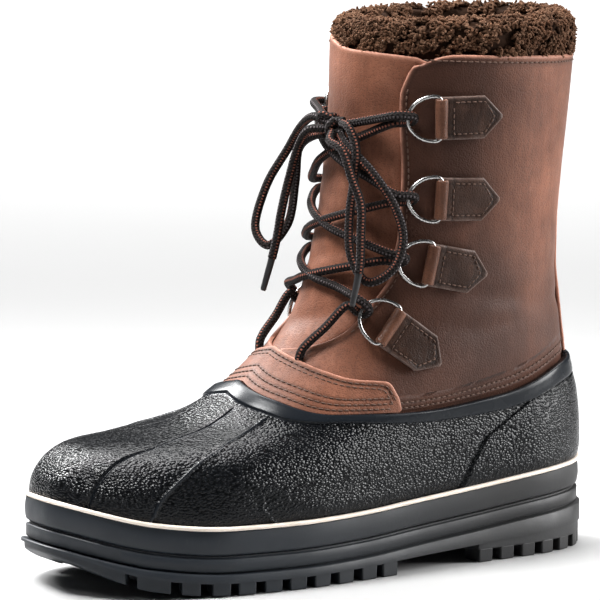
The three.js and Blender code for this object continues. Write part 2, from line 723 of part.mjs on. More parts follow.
// Rows of the leather parts: row 0 lies on the rubber's rim, the last one on the collar.
const leatherLevel = (phi, row) => lerp(rimLevel(phi, -3 * GAP), 1, row / LEATHER_ROWS);

// A thick piece of the last's surface, between two heights and up to an angle on each side of a middle.
function region(middle, lowAt, highAt, halfAt, columns, rows) {
  return wall(columns, rows, false, (i, j, side) => {
    const share = j / rows;
    const phi = middle + lerp(-1, 1, i / columns) * halfAt(share) * DEGREE;
    return surface(phi, levelAt(phi, lerp(lowAt(phi), highAt(phi), share)), side ? 9 : -9);
  });
}

function makeShaft() {
  const body = wall(COLUMNS, LEATHER_ROWS + 1, true, (i, j, side) => {
    const phi = columnAngle(i);
    if (j === 0) return surface(phi, rimLevel(phi, LEATHER_TUCK), side ? -2 * GAP : -2 * GAP - LEATHER_WALL);
    return surface(phi, leatherLevel(phi, j - 1), side ? 0 : -LEATHER_WALL);
  });
  const [low, high] = [THROAT[0].rise, 1.08];
  const halfAt = (share) => throatAngleAt(Math.min(lerp(low, high, share), 1.03));
  return body.subtract(region(0, () => COLLAR_HEIGHT * low, () => COLLAR_HEIGHT * high, halfAt, 10, 14));
}

// A layer of leather over the shaft, all the way round
const overlay = () =>
  wall(COLUMNS, LEATHER_ROWS, true, (i, j, side) => {
    const phi = columnAngle(i);
    return surface(phi, leatherLevel(phi, j), GAP + side * OVERLAY);
  });

function makeVamp() {
  const end = VAMP_LINE[VAMP_LINE.length - 1].angle;
  const lowAt = (phi) => COLLAR_HEIGHT * (rimRiseAt(angleFrom(phi)) - 0.05);
  const highAt = (phi) => COLLAR_HEIGHT * vampRiseAt(angleFrom(phi));
  return overlay().intersect(region(0, lowAt, highAt, () => end, 22, 1));
}

function makeBackStay() {
  return wall(4, LEATHER_ROWS + 1, false, (i, j, side) => {
    const phi = Math.PI + lerp(-BACK_STAY_ANGLE, BACK_STAY_ANGLE, i / 4) * DEGREE;
    const level = j > LEATHER_ROWS ? levelAt(phi, COLLAR_HEIGHT + PULL_TAB) : leatherLevel(phi, j);
    return surface(phi, level, 1.5 * GAP + side * OVERLAY);
  });
}

function makeTongue() {
  const columns = 2 * TONGUE_COLUMNS;
  return wall(columns, LEATHER_ROWS - TONGUE_ROOT_ROW + 1, false, (i, j, side) => {
    const phi = lerp(-TONGUE_ANGLE, TONGUE_ANGLE, i / columns) * DEGREE;
    const row = TONGUE_ROOT_ROW + j;
    const top = 1 + TONGUE_RISE * Math.cos(phi);
    const level = row > LEATHER_ROWS ? top : leatherLevel(phi, row);
    return surface(phi, level, -LEATHER_WALL - GAP - (side ? 0 : TONGUE_WALL));
  });
}

// Fleece cuff: a rolled ring inside the collar. Its section goes down the outside in millimetres below the
// collar, over the top in shares of the rise above it, and in by shares of its thickness.
function makeCuff() {
  const section = [
    { up: -CUFF_DEPTH, deep: 0 },
    { up: -CUFF_DEPTH / 2, deep: 0 },
    { up: -2, deep: 0 },
    { up: 0.3, deep: -0.07 },
    { up: 0.72, deep: -0.02 },
    { up: 0.94, deep: 0.25 },
    { up: 1, deep: 0.55 },
    { up: 0.82, deep: 0.92 },
    { up: 0.35, deep: 1.08 },
    { up: -CUFF_DEPTH * 0.3, deep: 1 },
    { up: -CUFF_DEPTH, deep: 0.6 },
  ];
  const steps = section.length;
  const points = [];
  for (let i = 0; i < COLUMNS; i++) {
    const phi = columnAngle(i);
    const behindTongue = 1 - smoothstep(angleFrom(phi), TONGUE_ANGLE + 5, TONGUE_ANGLE + 30);
    const seat = LEATHER_WALL + 2 * GAP + behindTongue * (TONGUE_WALL + 3 * GAP);
    const rise = COLLAR_HEIGHT + CUFF_RISE - lastPoint(phi, 1).z;
    section.forEach(({ up, deep }, k) => {
      const curl = Math.abs(Math.sin(5.3 * i + 2.1 * k) * Math.cos(2.9 * i - 1.7 * k));
      const lump = up > 0 ? FLEECE_LUMP * curl : 0;
      const level = slide(phi, 1, up > 0 ? up * rise : up);
      points.push(surface(phi, level, -seat - deep * CUFF_THICKNESS - lump));
    });
  }
  const faces = [];
  for (let i = 0; i < COLUMNS; i++) {
    for (let k = 0; k < steps; k++) {
      const [here, next, turn] = [i * steps, ((i + 1) % COLUMNS) * steps, (k + 1) % steps];
      faces.push(...quad(here + k, next + k, next + turn, here + turn));
    }
  }
  return solidFrom(fromFaces(points, faces));
}

// A frame on the last's surface for a tab: origin under the ring's bar, u towards the tab's point, w out
function tabFrame({ angle, rise, slope }, side) {
  const phi = side * angle * DEGREE;
  const level = levelAt(phi, COLLAR_HEIGHT * rise);
  const origin = lastPoint(phi, level);
  const w = lastNormal(phi, level);
  const back = new THREE.Vector3(0, 0, side).cross(w).normalize();
  const up = w.clone().cross(back).multiplyScalar(side);
  const u = back.multiplyScalar(Math.cos(slope * DEGREE)).addScaledVector(up, -Math.sin(slope * DEGREE));
  const v = w.clone().cross(u).normalize();
  return { origin, u, v, w, phi, level };
}

const onFrame = (frame, a, b, c) =>
  frame.origin
    .clone()
    .addScaledVector(frame.u, a)
    .addScaledVector(frame.v, b)
    .addScaledVector(frame.w, c);

// The last's surface seen along a tab's frame at a place on it, then out by a distance
function seated(frame, a, b, out) {
  const aim = onFrame(frame, a, b, 0);
  let { phi, level } = frame;
  for (let k = 0; k < 10; k++) {
    const p = lastPoint(phi, level);
    const miss = aim.clone().sub(p);
    miss.addScaledVector(frame.w, -miss.dot(frame.w));
    const turn = lastPoint(phi + 0.01, level).sub(p).divideScalar(0.01);
    const climb = lastPoint(phi, level + 0.005).sub(p).divideScalar(0.005);
    const [tt, tc, cc] = [turn.dot(turn), turn.dot(climb), climb.dot(climb)];
    const [mt, mc] = [turn.dot(miss), climb.dot(miss)];
    const scale = tt * cc - tc * tc;
    phi += clamp((cc * mt - tc * mc) / scale, -0.3, 0.3);
    level += clamp((tt * mc - tc * mt) / scale, -0.08, 0.08);
  }
  return surface(phi, level, out);
}

function makeTab(tab, side) {
  const frame = tabFrame(tab, side);
  const half = TAB_WIDTH / 2;
  const straight = TAB_LENGTH - TAB_POINT;
  const stations = [0, straight / 3, (2 * straight) / 3, straight, TAB_LENGTH];
  const flap = wall(2, stations.length - 1, false, (i, j, face) => {
    const a = stations[j];
    const b = lerp(half, -half, i / 2) * (a > straight ? 0.06 : 1);
    return seated(frame, a, b, TAB_SEAT + face * TAB_THICKNESS);
  });
  const across = (reach) => [-1, 1].map((k) => onFrame(frame, 0, k * reach, BAR_RISE));
  const roll = tube(across(half - TAB_ROLL / 2), WIRE / 2 + TAB_ROLL, 8);
  const bore = tube(across(half + TAB_ROLL), WIRE / 2 + 2 * GAP, 6);
  return flap.add(roll).subtract(bore);
}

// A D-ring: a straight bar in the tab's roll and a round bow that lies towards the throat
function makeRing(tab, side) {
  const frame = tabFrame(tab, side);
  const half = (RING_HEIGHT - WIRE) / 2;
  const bar = [-half, half].map((b) => onFrame(frame, 0, b, BAR_RISE));
  const bow = Array.from({ length: 8 }, (_, k) => {
    const turn = (Math.PI * k) / 7;
    const a = -BOW_CORNER - (RING_REACH - WIRE - BOW_CORNER) * Math.sin(turn);
    return onFrame(frame, a, half * Math.cos(turn), BAR_RISE + a * BOW_TILT);
  });
  return tube([...bar, ...bow], WIRE / 2, 5, true);
}

// A lace lies on the tongue in the middle of the throat, and on the leather beside it.
const laceRest = (phi) => LACE_REST - LEATHER_WALL * (1 - smoothstep(angleFrom(phi), 22, 40));

// Where a lace rests in front of the last, at a given x and height, with something more between
function frontPoint(x, height, more = 0) {
  let [low, high] = [-80 * DEGREE, 80 * DEGREE];
  const at = (phi) => surface(phi, levelAt(phi, height), laceRest(phi) + more);
  for (let i = 0; i < 16; i++) {
    const middle = (low + high) / 2;
    if (at(middle).x < x) low = middle;
    else high = middle;
  }
  return at(low);
}
const knotCentre = frontPoint(KNOT.aside, COLLAR_HEIGHT * KNOT.rise, KNOT.halfDeep - LACE / 2);

// The lace's turn in a ring: in over the bow above its middle, and out again below it
function ringTurn(tab, side) {
  const frame = tabFrame(tab, side);
  const rise = BAR_RISE + WIRE / 2 + LACE / 2 + 2 * GAP;
  const apart = side * (LACE / 2 + GAP);
  const [inside, outside] = [-RING_REACH * 0.62, -RING_REACH - WIRE];
  return [
    onFrame(frame, outside, apart, rise - WIRE),
    onFrame(frame, inside, apart, rise + GAP),
    onFrame(frame, inside, -apart, rise + GAP),
    onFrame(frame, outside, -apart, rise - WIRE),
  ];
}

// Half of the lace: from the knot through a ring on each side in turn, down to its slit in the vamp
function zigzag(side) {
  const path = [knotCentre];
  const pullTo = (goal, stops) => {
    const start = path[path.length - 1];
    for (let k = 1; k < stops; k++) {
      const p = start.clone().lerp(goal, k / stops);
      path.push(p.setY(Math.min(p.y, frontPoint(p.x, p.z).y)));
    }
  };
  TABS.forEach((tab, k) => {
    const turn = ringTurn(tab, k % 2 ? -side : side);
    pullTo(turn[0], k ? 5 : 3);
    path.push(...turn);
  });
  const slit = (TABS.length % 2 ? side : -side) * SLIT.angle * DEGREE;
  const hole = surface(slit, levelAt(slit, COLLAR_HEIGHT * SLIT.rise), LACE_REST);
  pullTo(hole, 2);
  path.push(hole);
  return tube(path, LACE / 2, 5);
}

const makeLace = () => zigzag(1).add(zigzag(-1)).subtract(knotShape(GAP));

function knotShape(grow) {
  const ball = new THREE.IcosahedronGeometry(1, 1);
  ball.scale(KNOT.halfWide + grow, KNOT.halfDeep + grow, KNOT.halfTall + grow);
  ball.translate(knotCentre.x, knotCentre.y, knotCentre.z);
  return solidFrom(ball);
}

// A loose stretch of the lace, cut clear of the knot
function looseLace(rows, pieces) {
  const pointOf = ({ angle, rise, out }) => {
    const phi = angle * DEGREE;
    return surface(phi, levelAt(phi, COLLAR_HEIGHT * rise), out);
  };
  const curve = new THREE.CatmullRomCurve3(rows.map(pointOf));
  return tube(curve.getSpacedPoints(pieces), LACE / 2, 5).subtract(knotShape(GAP));
}

function material(color, roughness, metalness = 0) {
  return new THREE.MeshStandardMaterial({ color, roughness, metalness });
}
const RUBBER = material(0x1d2023, 0.5);
const SOLE_RUBBER = material(0x26282c, 0.62);
const CREAM = material(0xe6d9c8, 0.6);
const LEATHER = material(0x6a4130, 0.72);
const FLEECE = material(0x4a3325, 0.95);
const FELT = material(0x3a3532, 0.95);
const STEEL = material(0xb9b6b0, 0.28, 1);
const CORD = material(0x211a19, 0.8);

const boot = new THREE.Group();
function add(name, solid, finish) {
  const mesh = new THREE.Mesh(geometryFrom(solid), finish);
  mesh.name = name;
  boot.add(mesh);
}

add("outsole", makeOutsole(), SOLE_RUBBER);
add("midsole", makeMidsole(), SOLE_RUBBER);
add("piping", makePiping(), CREAM);
add("insole", makeInsole(), FELT);
add("shell", makeShell(), RUBBER);
add("shaft", makeShaft(), LEATHER);
add("vamp", makeVamp(), LEATHER);
add("tongue", makeTongue(), LEATHER);
add("back_stay", makeBackStay(), LEATHER);
add("cuff", makeCuff(), FLEECE);
TABS.forEach((tab, k) => {
  for (const [side, label] of [[1, "outer"], [-1, "inner"]]) {
    add(`tab_${label}_${k + 1}`, makeTab(tab, side), LEATHER);
    add(`ring_${label}_${k + 1}`, makeRing(tab, side), STEEL);
  }
});
add("lace", makeLace(), CORD);
add("lace_knot", knotShape(0), CORD);
Object.entries(LOOSE).forEach(([name, rows]) => add(name, looseLace(rows, 2 * rows.length), CORD));

export default boot;
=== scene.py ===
import math

import bpy
import numpy as np
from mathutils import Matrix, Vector


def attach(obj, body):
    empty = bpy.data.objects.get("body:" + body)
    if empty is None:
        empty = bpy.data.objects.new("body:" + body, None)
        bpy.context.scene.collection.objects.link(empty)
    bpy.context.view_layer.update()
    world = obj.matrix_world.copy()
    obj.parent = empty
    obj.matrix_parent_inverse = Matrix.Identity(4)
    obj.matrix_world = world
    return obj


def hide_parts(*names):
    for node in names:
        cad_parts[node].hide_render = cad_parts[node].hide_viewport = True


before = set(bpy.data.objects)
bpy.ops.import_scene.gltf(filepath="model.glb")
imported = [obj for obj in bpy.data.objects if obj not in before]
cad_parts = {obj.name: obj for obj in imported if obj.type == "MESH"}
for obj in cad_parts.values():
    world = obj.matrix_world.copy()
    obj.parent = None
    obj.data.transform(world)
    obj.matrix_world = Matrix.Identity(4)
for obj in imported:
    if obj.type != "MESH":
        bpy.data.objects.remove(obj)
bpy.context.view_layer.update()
MM = 0.001
rng = np.random.default_rng(7)

# Sizes of the boot, as in the part's source
SOLE_LENGTH, BALL_WIDTH, COLLAR_HEIGHT, GAP = 320, 124, 262, 0.3
TREAD_PLATE, HEEL_LIFT, TOE_SPRING, SOLE_STEP, MIDSOLE_HEIGHT = 11, 12.5, 21, 9, 13
GROOVE_HEIGHT, GROOVE_DEPTH, STEP_INSET = 1, 1.8, 1.6
PIPING_HEIGHT, PIPING_WIDTH, INSOLE_THICKNESS = 2.4, 2, 5
LUG_DEPTH, LUG_WIDTH, LUG_PITCH, LUG_REACH, LUG_INSET = 6.5, 10.2, 15, 15, 0.7
HEEL_LUG_DEPTH, HEEL_LUG_WIDTH, HEEL_LUG_PITCH, HEEL_LENGTH = 6.5, 9, 14, 86
CENTRE_LUG_LENGTH, CENTRE_LUG_WIDTH, CENTRE_LUG_LEAN = 30, 8, 3.2
TOE_LUG_ANGLE, FOREFOOT_ANGLES, HEEL_ANGLES = 33, (49.3, 97), (119.6, 172)
BROAD_LUG_ANGLE, BROAD_LUG_WIDTH = 40.2, 18
WEB_OVERLAP, ARCH_RISE = 1, 0.55
SHELL_WALL, LEATHER_WALL, TONGUE_WALL, TONGUE_RISE, OVERLAY = 3, 2.2, 2.4, 0.012, 1.8
RIM_BAND, RIM_STEP, LEATHER_TUCK, COUNTER_STEP = 10, 0.9, 12, 1
BACK_STAY_ANGLE, PULL_TAB, TONGUE_ANGLE = 13, 13, 60
CUFF_RISE, CUFF_DEPTH, CUFF_THICKNESS = 22, 40, 15
WIRE, RING_HEIGHT, RING_REACH = 2.6, 26, 20
TAB_WIDTH, TAB_LENGTH, TAB_POINT, TAB_THICKNESS, TAB_SEAT, TAB_ROLL = 22.5, 33, 10, 3, 0.9, 2
BOW_TILT, INNER_TILT, WIRE_SHOWN, LACE = 0.07, 0.2, 2.1, 4.6
LACE_REST = LACE / 2 + 1.2
BAR_RISE = TAB_SEAT + WIRE / 2 + TAB_ROLL
KNOT = {"aside": 5, "rise": 0.872, "deep": 6}
AGLET_LENGTH, AGLET_OVERLAP = 19.0, 1.5
OVAL_BLUNTNESS = 0.92
HEEL_FRONT = SOLE_LENGTH / 2 - HEEL_LENGTH


def table(names, *rows):
    """A table with named columns."""
    return {name: np.array(values, float) for name, values in zip(names.split(), zip(*rows))}


SOLE_PROFILE = table(
    "at spring lift thin",
    (0, 0, 1, 0), (0.14, 0, 0.8, 0), (0.27, 0, 0.5, 0), (0.4, 0, 0.25, 0), (0.53, 0, 0.05, 0),
    (0.64, 0, 0, 0), (0.76, 0.023, 0, 0), (0.88, 0.2, 0, 0), (1, 1, 0, 0.62),
)
FOOT_OUTLINE = table(
    "angle outer inner",
    (0, 0, 0), (15, 0.3, 0.49), (30, 0.6, 0.78), (45, 0.84, 0.945), (60, 0.98, 1), (75, 1, 0.905),
    (90, 0.93, 0.75), (105, 0.825, 0.66), (120, 0.76, 0.67), (135, 0.715, 0.69), (150, 0.59, 0.59),
    (165, 0.348, 0.35), (180, 0, 0),
)
SIDE_VIEW = table(
    "at front front_rise back back_rise",
    (0, 0.983, 0, 0.018, 0), (0.07, 0.977, 0.034, 0.0125, 0.04), (0.14, 0.96, 0.09, 0.0128, 0.094),
    (0.21, 0.926, 0.149, 0.0132, 0.15), (0.28, 0.873, 0.195, 0.0142, 0.216),
    (0.35, 0.808, 0.2315, 0.0205, 0.286), (0.42, 0.728, 0.2725, 0.0275, 0.345),
    (0.49, 0.635, 0.3535, 0.0315, 0.402), (0.56, 0.557, 0.453, 0.036, 0.46),
    (0.63, 0.515, 0.533, 0.0415, 0.513), (0.7, 0.494, 0.612, 0.0475, 0.578),
    (0.78, 0.4775, 0.694, 0.047, 0.66), (0.86, 0.4635, 0.795, 0.0405, 0.76), (0.93, 0.453, 0.905, 0.03, 0.88),
    (1, 0.448, 1.03, 0.021, 1),
)
RINGS = table(
    "at half hug foot",
    (0, 0.89, 1, 1), (0.07, 0.93, 1, 1), (0.14, 0.922, 0.9, 0.97), (0.21, 0.889, 0.75, 0.88),
    (0.28, 0.836, 0.55, 0.74), (0.35, 0.795, 0.35, 0.55), (0.42, 0.775, 0.2, 0.36), (0.49, 0.765, 0.1, 0.2),
    (0.56, 0.74, 0, 0.1), (0.63, 0.735, 0, 0.04), (0.7, 0.74, 0, 0), (0.78, 0.76, 0, 0), (0.86, 0.795, 0, 0),
    (0.93, 0.827, 0, 0), (1, 0.864, 0, 0),
)
RIM_LINE = table(
    "angle rise",
    (0, 0.372), (30, 0.347), (60, 0.322), (90, 0.32), (120, 0.335), (150, 0.378), (180, 0.392),
)
THROAT = table(
    "rise angle",
    (0.44, 3), (0.448, 20), (0.46, 30), (0.48, 37), (0.51, 41), (0.55, 46), (0.585, 49.5), (0.645, 49.5),
    (0.7, 48.5), (0.785, 46), (0.89, 41.5), (0.94, 40.5), (0.97, 42.5), (1.0, 46.5), (1.02, 55),
)
VAMP_LINE = table(
    "angle rise",
    (0, 0.44), (20, 0.424), (40, 0.403), (55, 0.388), (68, 0.382), (76, 0.358), (84, 0.325),
)
RIBS = [
    table("level angle", (0, 18.5), (0.2, 20), (0.4, 21.5), (0.59, 23.5), (0.8, 17.5), (1, 14.5)),
    table("level angle", (0, 38), (0.2, 39.5), (0.45, 43.5), (0.6, 45), (0.8, 42), (1, 35.5)),
]
COUNTER_LINE = table("level angle", (0, 113), (0.25, 115), (0.45, 117), (0.63, 119), (0.8, 124), (1, 131))
TABS = table("angle rise slope", (61, 0.897, 0), (66, 0.737, 3), (66.5, 0.607, 12), (56, 0.484, 36))
SLIT_ANGLE, SLIT_RISE = 22, 0.437

# Loose stretches of the lace from the knot on: angle, height as a share of the collar's, distance from the last
LOOSE = {
    "lace_loop_outer": [
        (13, 0.881, 7), (19, 0.876, 10.5), (25, 0.838, 13), (26, 0.78, 13), (26.5, 0.7, 13), (31, 0.618, 13),
        (40, 0.573, 13.5), (49, 0.6, 14), (51, 0.66, 14), (46, 0.721, 13), (34, 0.79, 13), (18, 0.842, 9.5),
        (12, 0.858, 6),
    ],
    "lace_loop_inner": [
        (1, 0.884, 7), (-6, 0.888, 9), (-20, 0.862, 11), (-29, 0.81, 17), (-32, 0.73, 27), (-31, 0.635, 29),
        (-28, 0.61, 20), (-27, 0.66, 12), (-27, 0.745, 11), (-21, 0.815, 11), (-8, 0.847, 8), (1, 0.856, 6),
    ],
    "lace_end_outer": [
        (9, 0.862, 9), (13, 0.845, 15), (21, 0.83, 18), (27, 0.776, 19), (32, 0.728, 19), (34, 0.667, 19),
        (36, 0.6, 19), (37, 0.516, 17),
    ],
    "lace_end_inner": [
        (4, 0.868, 9), (-2, 0.862, 13.5), (-9, 0.832, 14), (-15, 0.755, 15.5), (-17, 0.69, 16.5),
        (-19, 0.62, 16), (-21, 0.515, 15.5),
    ],
}


# Smooth curves and small helpers

def column(rows, source, target):
    """A smooth curve through a table's column, straight beyond its ends."""
    xs, ys = rows[source], rows[target]
    rates = np.diff(ys) / np.diff(xs)
    before, after = rates[:-1], rates[1:]
    same = before * after > 0
    middle = np.where(same, 2 * before * after / np.where(same, before + after, 1), 0)
    slopes = np.concatenate([rates[:1], middle, rates[-1:]])

    def at(x):
        x = np.asarray(x, float)
        i = np.clip(np.searchsorted(xs, x) - 1, 0, len(xs) - 2)
        width = xs[i + 1] - xs[i]
        t = (x - xs[i]) / width
        hold = (1 + 2 * t) * (1 - t) ** 2 * ys[i] + t * t * (3 - 2 * t) * ys[i + 1]
        inside = hold + width * (t * (1 - t) ** 2 * slopes[i] + t * t * (t - 1) * slopes[i + 1])
        below = ys[0] + slopes[0] * (x - xs[0])
        above = ys[-1] + slopes[-1] * (x - xs[-1])
        return np.where(x <= xs[0], below, np.where(x >= xs[-1], above, inside))

    return at


def lerp(a, b, t):
    return a + (b - a) * t


def smooth(x, low, high):
    t = np.clip((np.asarray(x, float) - low) / (high - low), 0, 1)
    return t * t * (3 - 2 * t)


def unit(v):
    return v / np.maximum(np.linalg.norm(v, axis=-1, keepdims=True), 1e-9)


def points(x, y, z):
    return np.stack(np.broadcast_arrays(x, y, z), axis=-1).astype(float)


spring_at = column(SOLE_PROFILE, "at", "spring")
lift_at = column(SOLE_PROFILE, "at", "lift")
thin_at = column(SOLE_PROFILE, "at", "thin")
outer_at = column(FOOT_OUTLINE, "angle", "outer")
inner_at = column(FOOT_OUTLINE, "angle", "inner")
front_at, front_rise_at = column(SIDE_VIEW, "at", "front"), column(SIDE_VIEW, "at", "front_rise")
back_at, back_rise_at = column(SIDE_VIEW, "at", "back"), column(SIDE_VIEW, "at", "back_rise")
half_at, hug_at, foot_at = (column(RINGS, "at", name) for name in ("half", "hug", "foot"))
rim_rise_at = column(RIM_LINE, "angle", "rise")
vamp_rise_at = column(VAMP_LINE, "angle", "rise")
throat_angle_at = column(THROAT, "rise", "angle")
counter_angle_at = column(COUNTER_LINE, "level", "angle")


# The last and the sole, as in the part's source

def along_of(y):
    return 0.5 - y / SOLE_LENGTH


def tread_height(y):
    return TOE_SPRING * spring_at(along_of(y))


def plate_height(y):
    return tread_height(y) + TREAD_PLATE * (1 - thin_at(along_of(y))) + HEEL_LIFT * lift_at(along_of(y))


def step_height(y):
    return plate_height(y) + SOLE_STEP


def feather_height(y):
    return step_height(y) + MIDSOLE_HEIGHT


def web_height(y):
    depth = LUG_DEPTH * (1 - thin_at(along_of(y)))
    return tread_height(y) + depth + ARCH_RISE * HEEL_LIFT * lift_at(along_of(y))


def degrees_of(phi):
    return np.abs(np.degrees((np.asarray(phi, float) + np.pi) % (2 * np.pi) - np.pi))


def foot_side(phi):
    angle = degrees_of(phi)
    return np.where(np.sin(phi) >= 0, outer_at(angle), -inner_at(angle))


def last_point(phi, level):
    phi, level = np.broadcast_arrays(np.asarray(phi, float), np.asarray(level, float))
    share = (1 + np.cos(phi)) / 2
    y = SOLE_LENGTH * (0.5 - lerp(back_at(level), front_at(level), share))
    rise = lerp(back_rise_at(level), front_rise_at(level), share)
    oval = np.sign(np.sin(phi)) * np.abs(np.sin(phi)) ** OVAL_BLUNTNESS
    x = BALL_WIDTH / 2 * half_at(level) * lerp(oval, foot_side(phi), foot_at(level))
    return points(x, y, COLLAR_HEIGHT * rise + hug_at(level) * feather_height(y))


def last_normal(phi, level):
    around = last_point(phi + 0.02, level) - last_point(phi - 0.02, level)
    up = last_point(phi, level + 0.004) - last_point(phi, level - 0.004)
    return unit(np.cross(around, up))


def surface(phi, level, out):
    return last_point(phi, level) + last_normal(phi, level) * np.asarray(out, float)[..., None]


def level_at(phi, height):
    phi, height = np.broadcast_arrays(np.asarray(phi, float), np.asarray(height, float))
    low, high = np.zeros(phi.shape), np.full(phi.shape, 1.2)
    for _ in range(24):
        middle = (low + high) / 2
        below = last_point(phi, middle)[..., 2] < height
        low, high = np.where(below, middle, low), np.where(below, high, middle)
    return (low + high) / 2


def slide(phi, level, distance):
    steps, small = 10, 0.002
    reached = level + np.zeros(np.broadcast(phi, distance).shape)
    for _ in range(steps):
        travel = last_point(phi, reached + small) - last_point(phi, reached - small)
        reached = reached + distance / steps / (np.linalg.norm(travel, axis=-1) / (2 * small))
    return reached


def rim_level(phi, below=0.0):
    return slide(phi, level_at(phi, COLLAR_HEIGHT * rim_rise_at(degrees_of(phi))), -np.asarray(below, float))


def sole_outline(phi, inset):
    def at(a):
        return np.stack([BALL_WIDTH / 2 * foot_side(a), -SOLE_LENGTH / 2 * np.cos(a)], axis=-1)

    phi = np.asarray(phi, float)
    along = unit(at(phi + 0.03) - at(phi - 0.03))
    return at(phi) + np.stack([-along[..., 1], along[..., 0]], axis=-1) * inset


def upright(phi, height, out):
    """The last's side at a height over its edge on the sole, pushed out level."""
    level = level_at(phi, feather_height(last_point(phi, 0)[..., 1]) + height)
    flat = last_normal(phi, level)
    flat[..., 2] = 0
    p = last_point(phi, level) + unit(flat) * np.asarray(out, float)[..., None]
    p[..., 2] = feather_height(p[..., 1]) + height
    return p


# Meshes

def make_object(name, vertices, faces, material, uv=None, tones=None, sharp=None):
    """A mesh from points in millimetres. tones are named values of each vertex, for the materials."""
    mesh = bpy.data.meshes.new(name)
    mesh.from_pydata((np.asarray(vertices) * MM).tolist(), [], [list(map(int, f)) for f in faces])
    mesh.materials.append(material)
    mesh.shade_smooth()
    if sharp is not None:
        mesh.set_sharp_from_angle(angle=math.radians(sharp))
    if uv is not None:
        layer = mesh.uv_layers.new(name="along")
        layer.data.foreach_set("uv", np.asarray(uv, np.float32).ravel())
    for tone, values in (tones or {}).items():
        attribute = mesh.attributes.new(tone, "FLOAT", "POINT")
        attribute.data.foreach_set("value", np.asarray(values, np.float32).ravel())
    piece = bpy.data.objects.new(name, mesh)
    bpy.context.scene.collection.objects.link(piece)
    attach(piece, "root")
    return piece


def grid_faces(across, rows, closed, first=0, flip=False):
    """Quads over a grid of columns by rows of vertices, numbered row by row from first."""
    i = np.arange(across if closed else across - 1)
    j = np.arange(rows - 1)
    a, b = np.meshgrid(i, j)
    c = (a + 1) % across
    quads = np.stack([b * across + a, b * across + c, (b + 1) * across + c, (b + 1) * across + a], axis=-1)
    quads = quads.reshape(-1, 4) + first
    return quads[:, ::-1] if flip else quads


def ring_stack(rings):
    """Closed rings of points on each other: vertices and faces, without caps."""
    count = len(rings[0])
    return np.concatenate(rings), grid_faces(count, len(rings), True)


def looped(rings):
    """Closed rings of points on each other, with the last joined back to the first."""
    vertices, faces = ring_stack(rings)
    count = len(rings[0])
    i = np.arange(count)
    k = (i + 1) % count
    top = (len(rings) - 1) * count
    return vertices, np.concatenate([faces, np.stack([top + i, top + k, k, i], axis=-1)])


def strip_cap(first, count, up):
    """A cap over a ring whose points i and count - i lie across from each other."""
    faces = []
    for i in range(count // 2):
        a, b = first + i, first + i + 1
        c, d = first + (count - i) % count, first + count - i - 1
        face = [a, b, d, c]
        face = [v for k, v in enumerate(face) if v not in face[:k]]
        faces.append(face if up else face[::-1])
    return faces


def slab(rings):
    vertices, faces = ring_stack(rings)
    count = len(rings[0])
    caps = strip_cap(0, count, False) + strip_cap((len(rings) - 1) * count, count, True)
    return vertices, [*faces.tolist(), *caps]


def sheet_solid(outer, inner):
    """A closed wall between two grids of points, each rows by columns."""
    rows, across = outer.shape[:2]
    total = rows * across
    vertices = np.concatenate([outer.reshape(-1, 3), inner.reshape(-1, 3)])
    faces = [grid_faces(across, rows, False), grid_faces(across, rows, False, total, flip=True)]
    i = np.arange(across - 1)
    k = i + 1
    top = (rows - 1) * across
    faces.append(np.stack([i + total, k + total, k, i], axis=-1))
    faces.append(np.stack([top + i, top + k, total + top + k, total + top + i], axis=-1))
    j = np.arange(rows - 1)
    here, there = j * across, (j + 1) * across
    end = across - 1
    faces.append(np.stack([total + here, here, there, total + there], axis=-1))
    faces.append(np.stack([here + end, total + here + end, total + there + end, there + end], axis=-1))
    return vertices, np.concatenate(faces)


def tube(path, radius, sides, closed=False):
    """A round bar along points: vertices, faces, and the uv of each face corner (round, along in mm)."""
    path = np.asarray(path, float)
    count = len(path)
    radii = np.broadcast_to(radius, count)
    if closed:
        tangents = unit(np.roll(path, -1, 0) - np.roll(path, 1, 0))
    else:
        tangents = unit(np.gradient(path, axis=0))
    normal = np.cross([0.3, 0.2, 1.0], tangents[0])
    normals = np.empty_like(path)
    for k, tangent in enumerate(tangents):
        normal = unit(normal - tangent * (normal @ tangent))
        normals[k] = normal
    sidewise = np.cross(tangents, normals)
    turn = 2 * np.pi * np.arange(sides) / sides
    aside = normals[:, None] * np.cos(turn)[:, None] + sidewise[:, None] * np.sin(turn)[:, None]
    vertices = (path[:, None] + aside * radii[:, None, None]).reshape(-1, 3)
    steps = np.linalg.norm(np.diff(path, axis=0, append=path[:1]), axis=1)
    walked = np.concatenate([[0], np.cumsum(steps)])
    faces, uv = [], []
    for j in range(count if closed else count - 1):
        for k in range(sides):
            here, there, turned = j * sides, (j + 1) % count * sides, (k + 1) % sides
            faces.append([here + k, here + turned, there + turned, there + k])
            u, v = k / sides, (k + 1) / sides
            uv.append([[u, walked[j]], [v, walked[j]], [v, walked[j + 1]], [u, walked[j + 1]]])
    uv = np.array(uv).reshape(-1, 2)
    if not closed:
        last = (count - 1) * sides
        faces.append(list(range(sides))[::-1])
        faces.append([last + k for k in range(sides)])
        uv = np.concatenate([uv, np.zeros((2 * sides, 2))])
    return vertices, faces, uv


def join(parts):
    """Several (vertices, faces) as one."""
    vertices, faces, first = [], [], 0
    for part_vertices, part_faces, *_ in parts:
        vertices.append(part_vertices)
        faces.extend((np.asarray(f) + first).tolist() for f in part_faces)
        first += len(part_vertices)
    return np.concatenate(vertices), faces


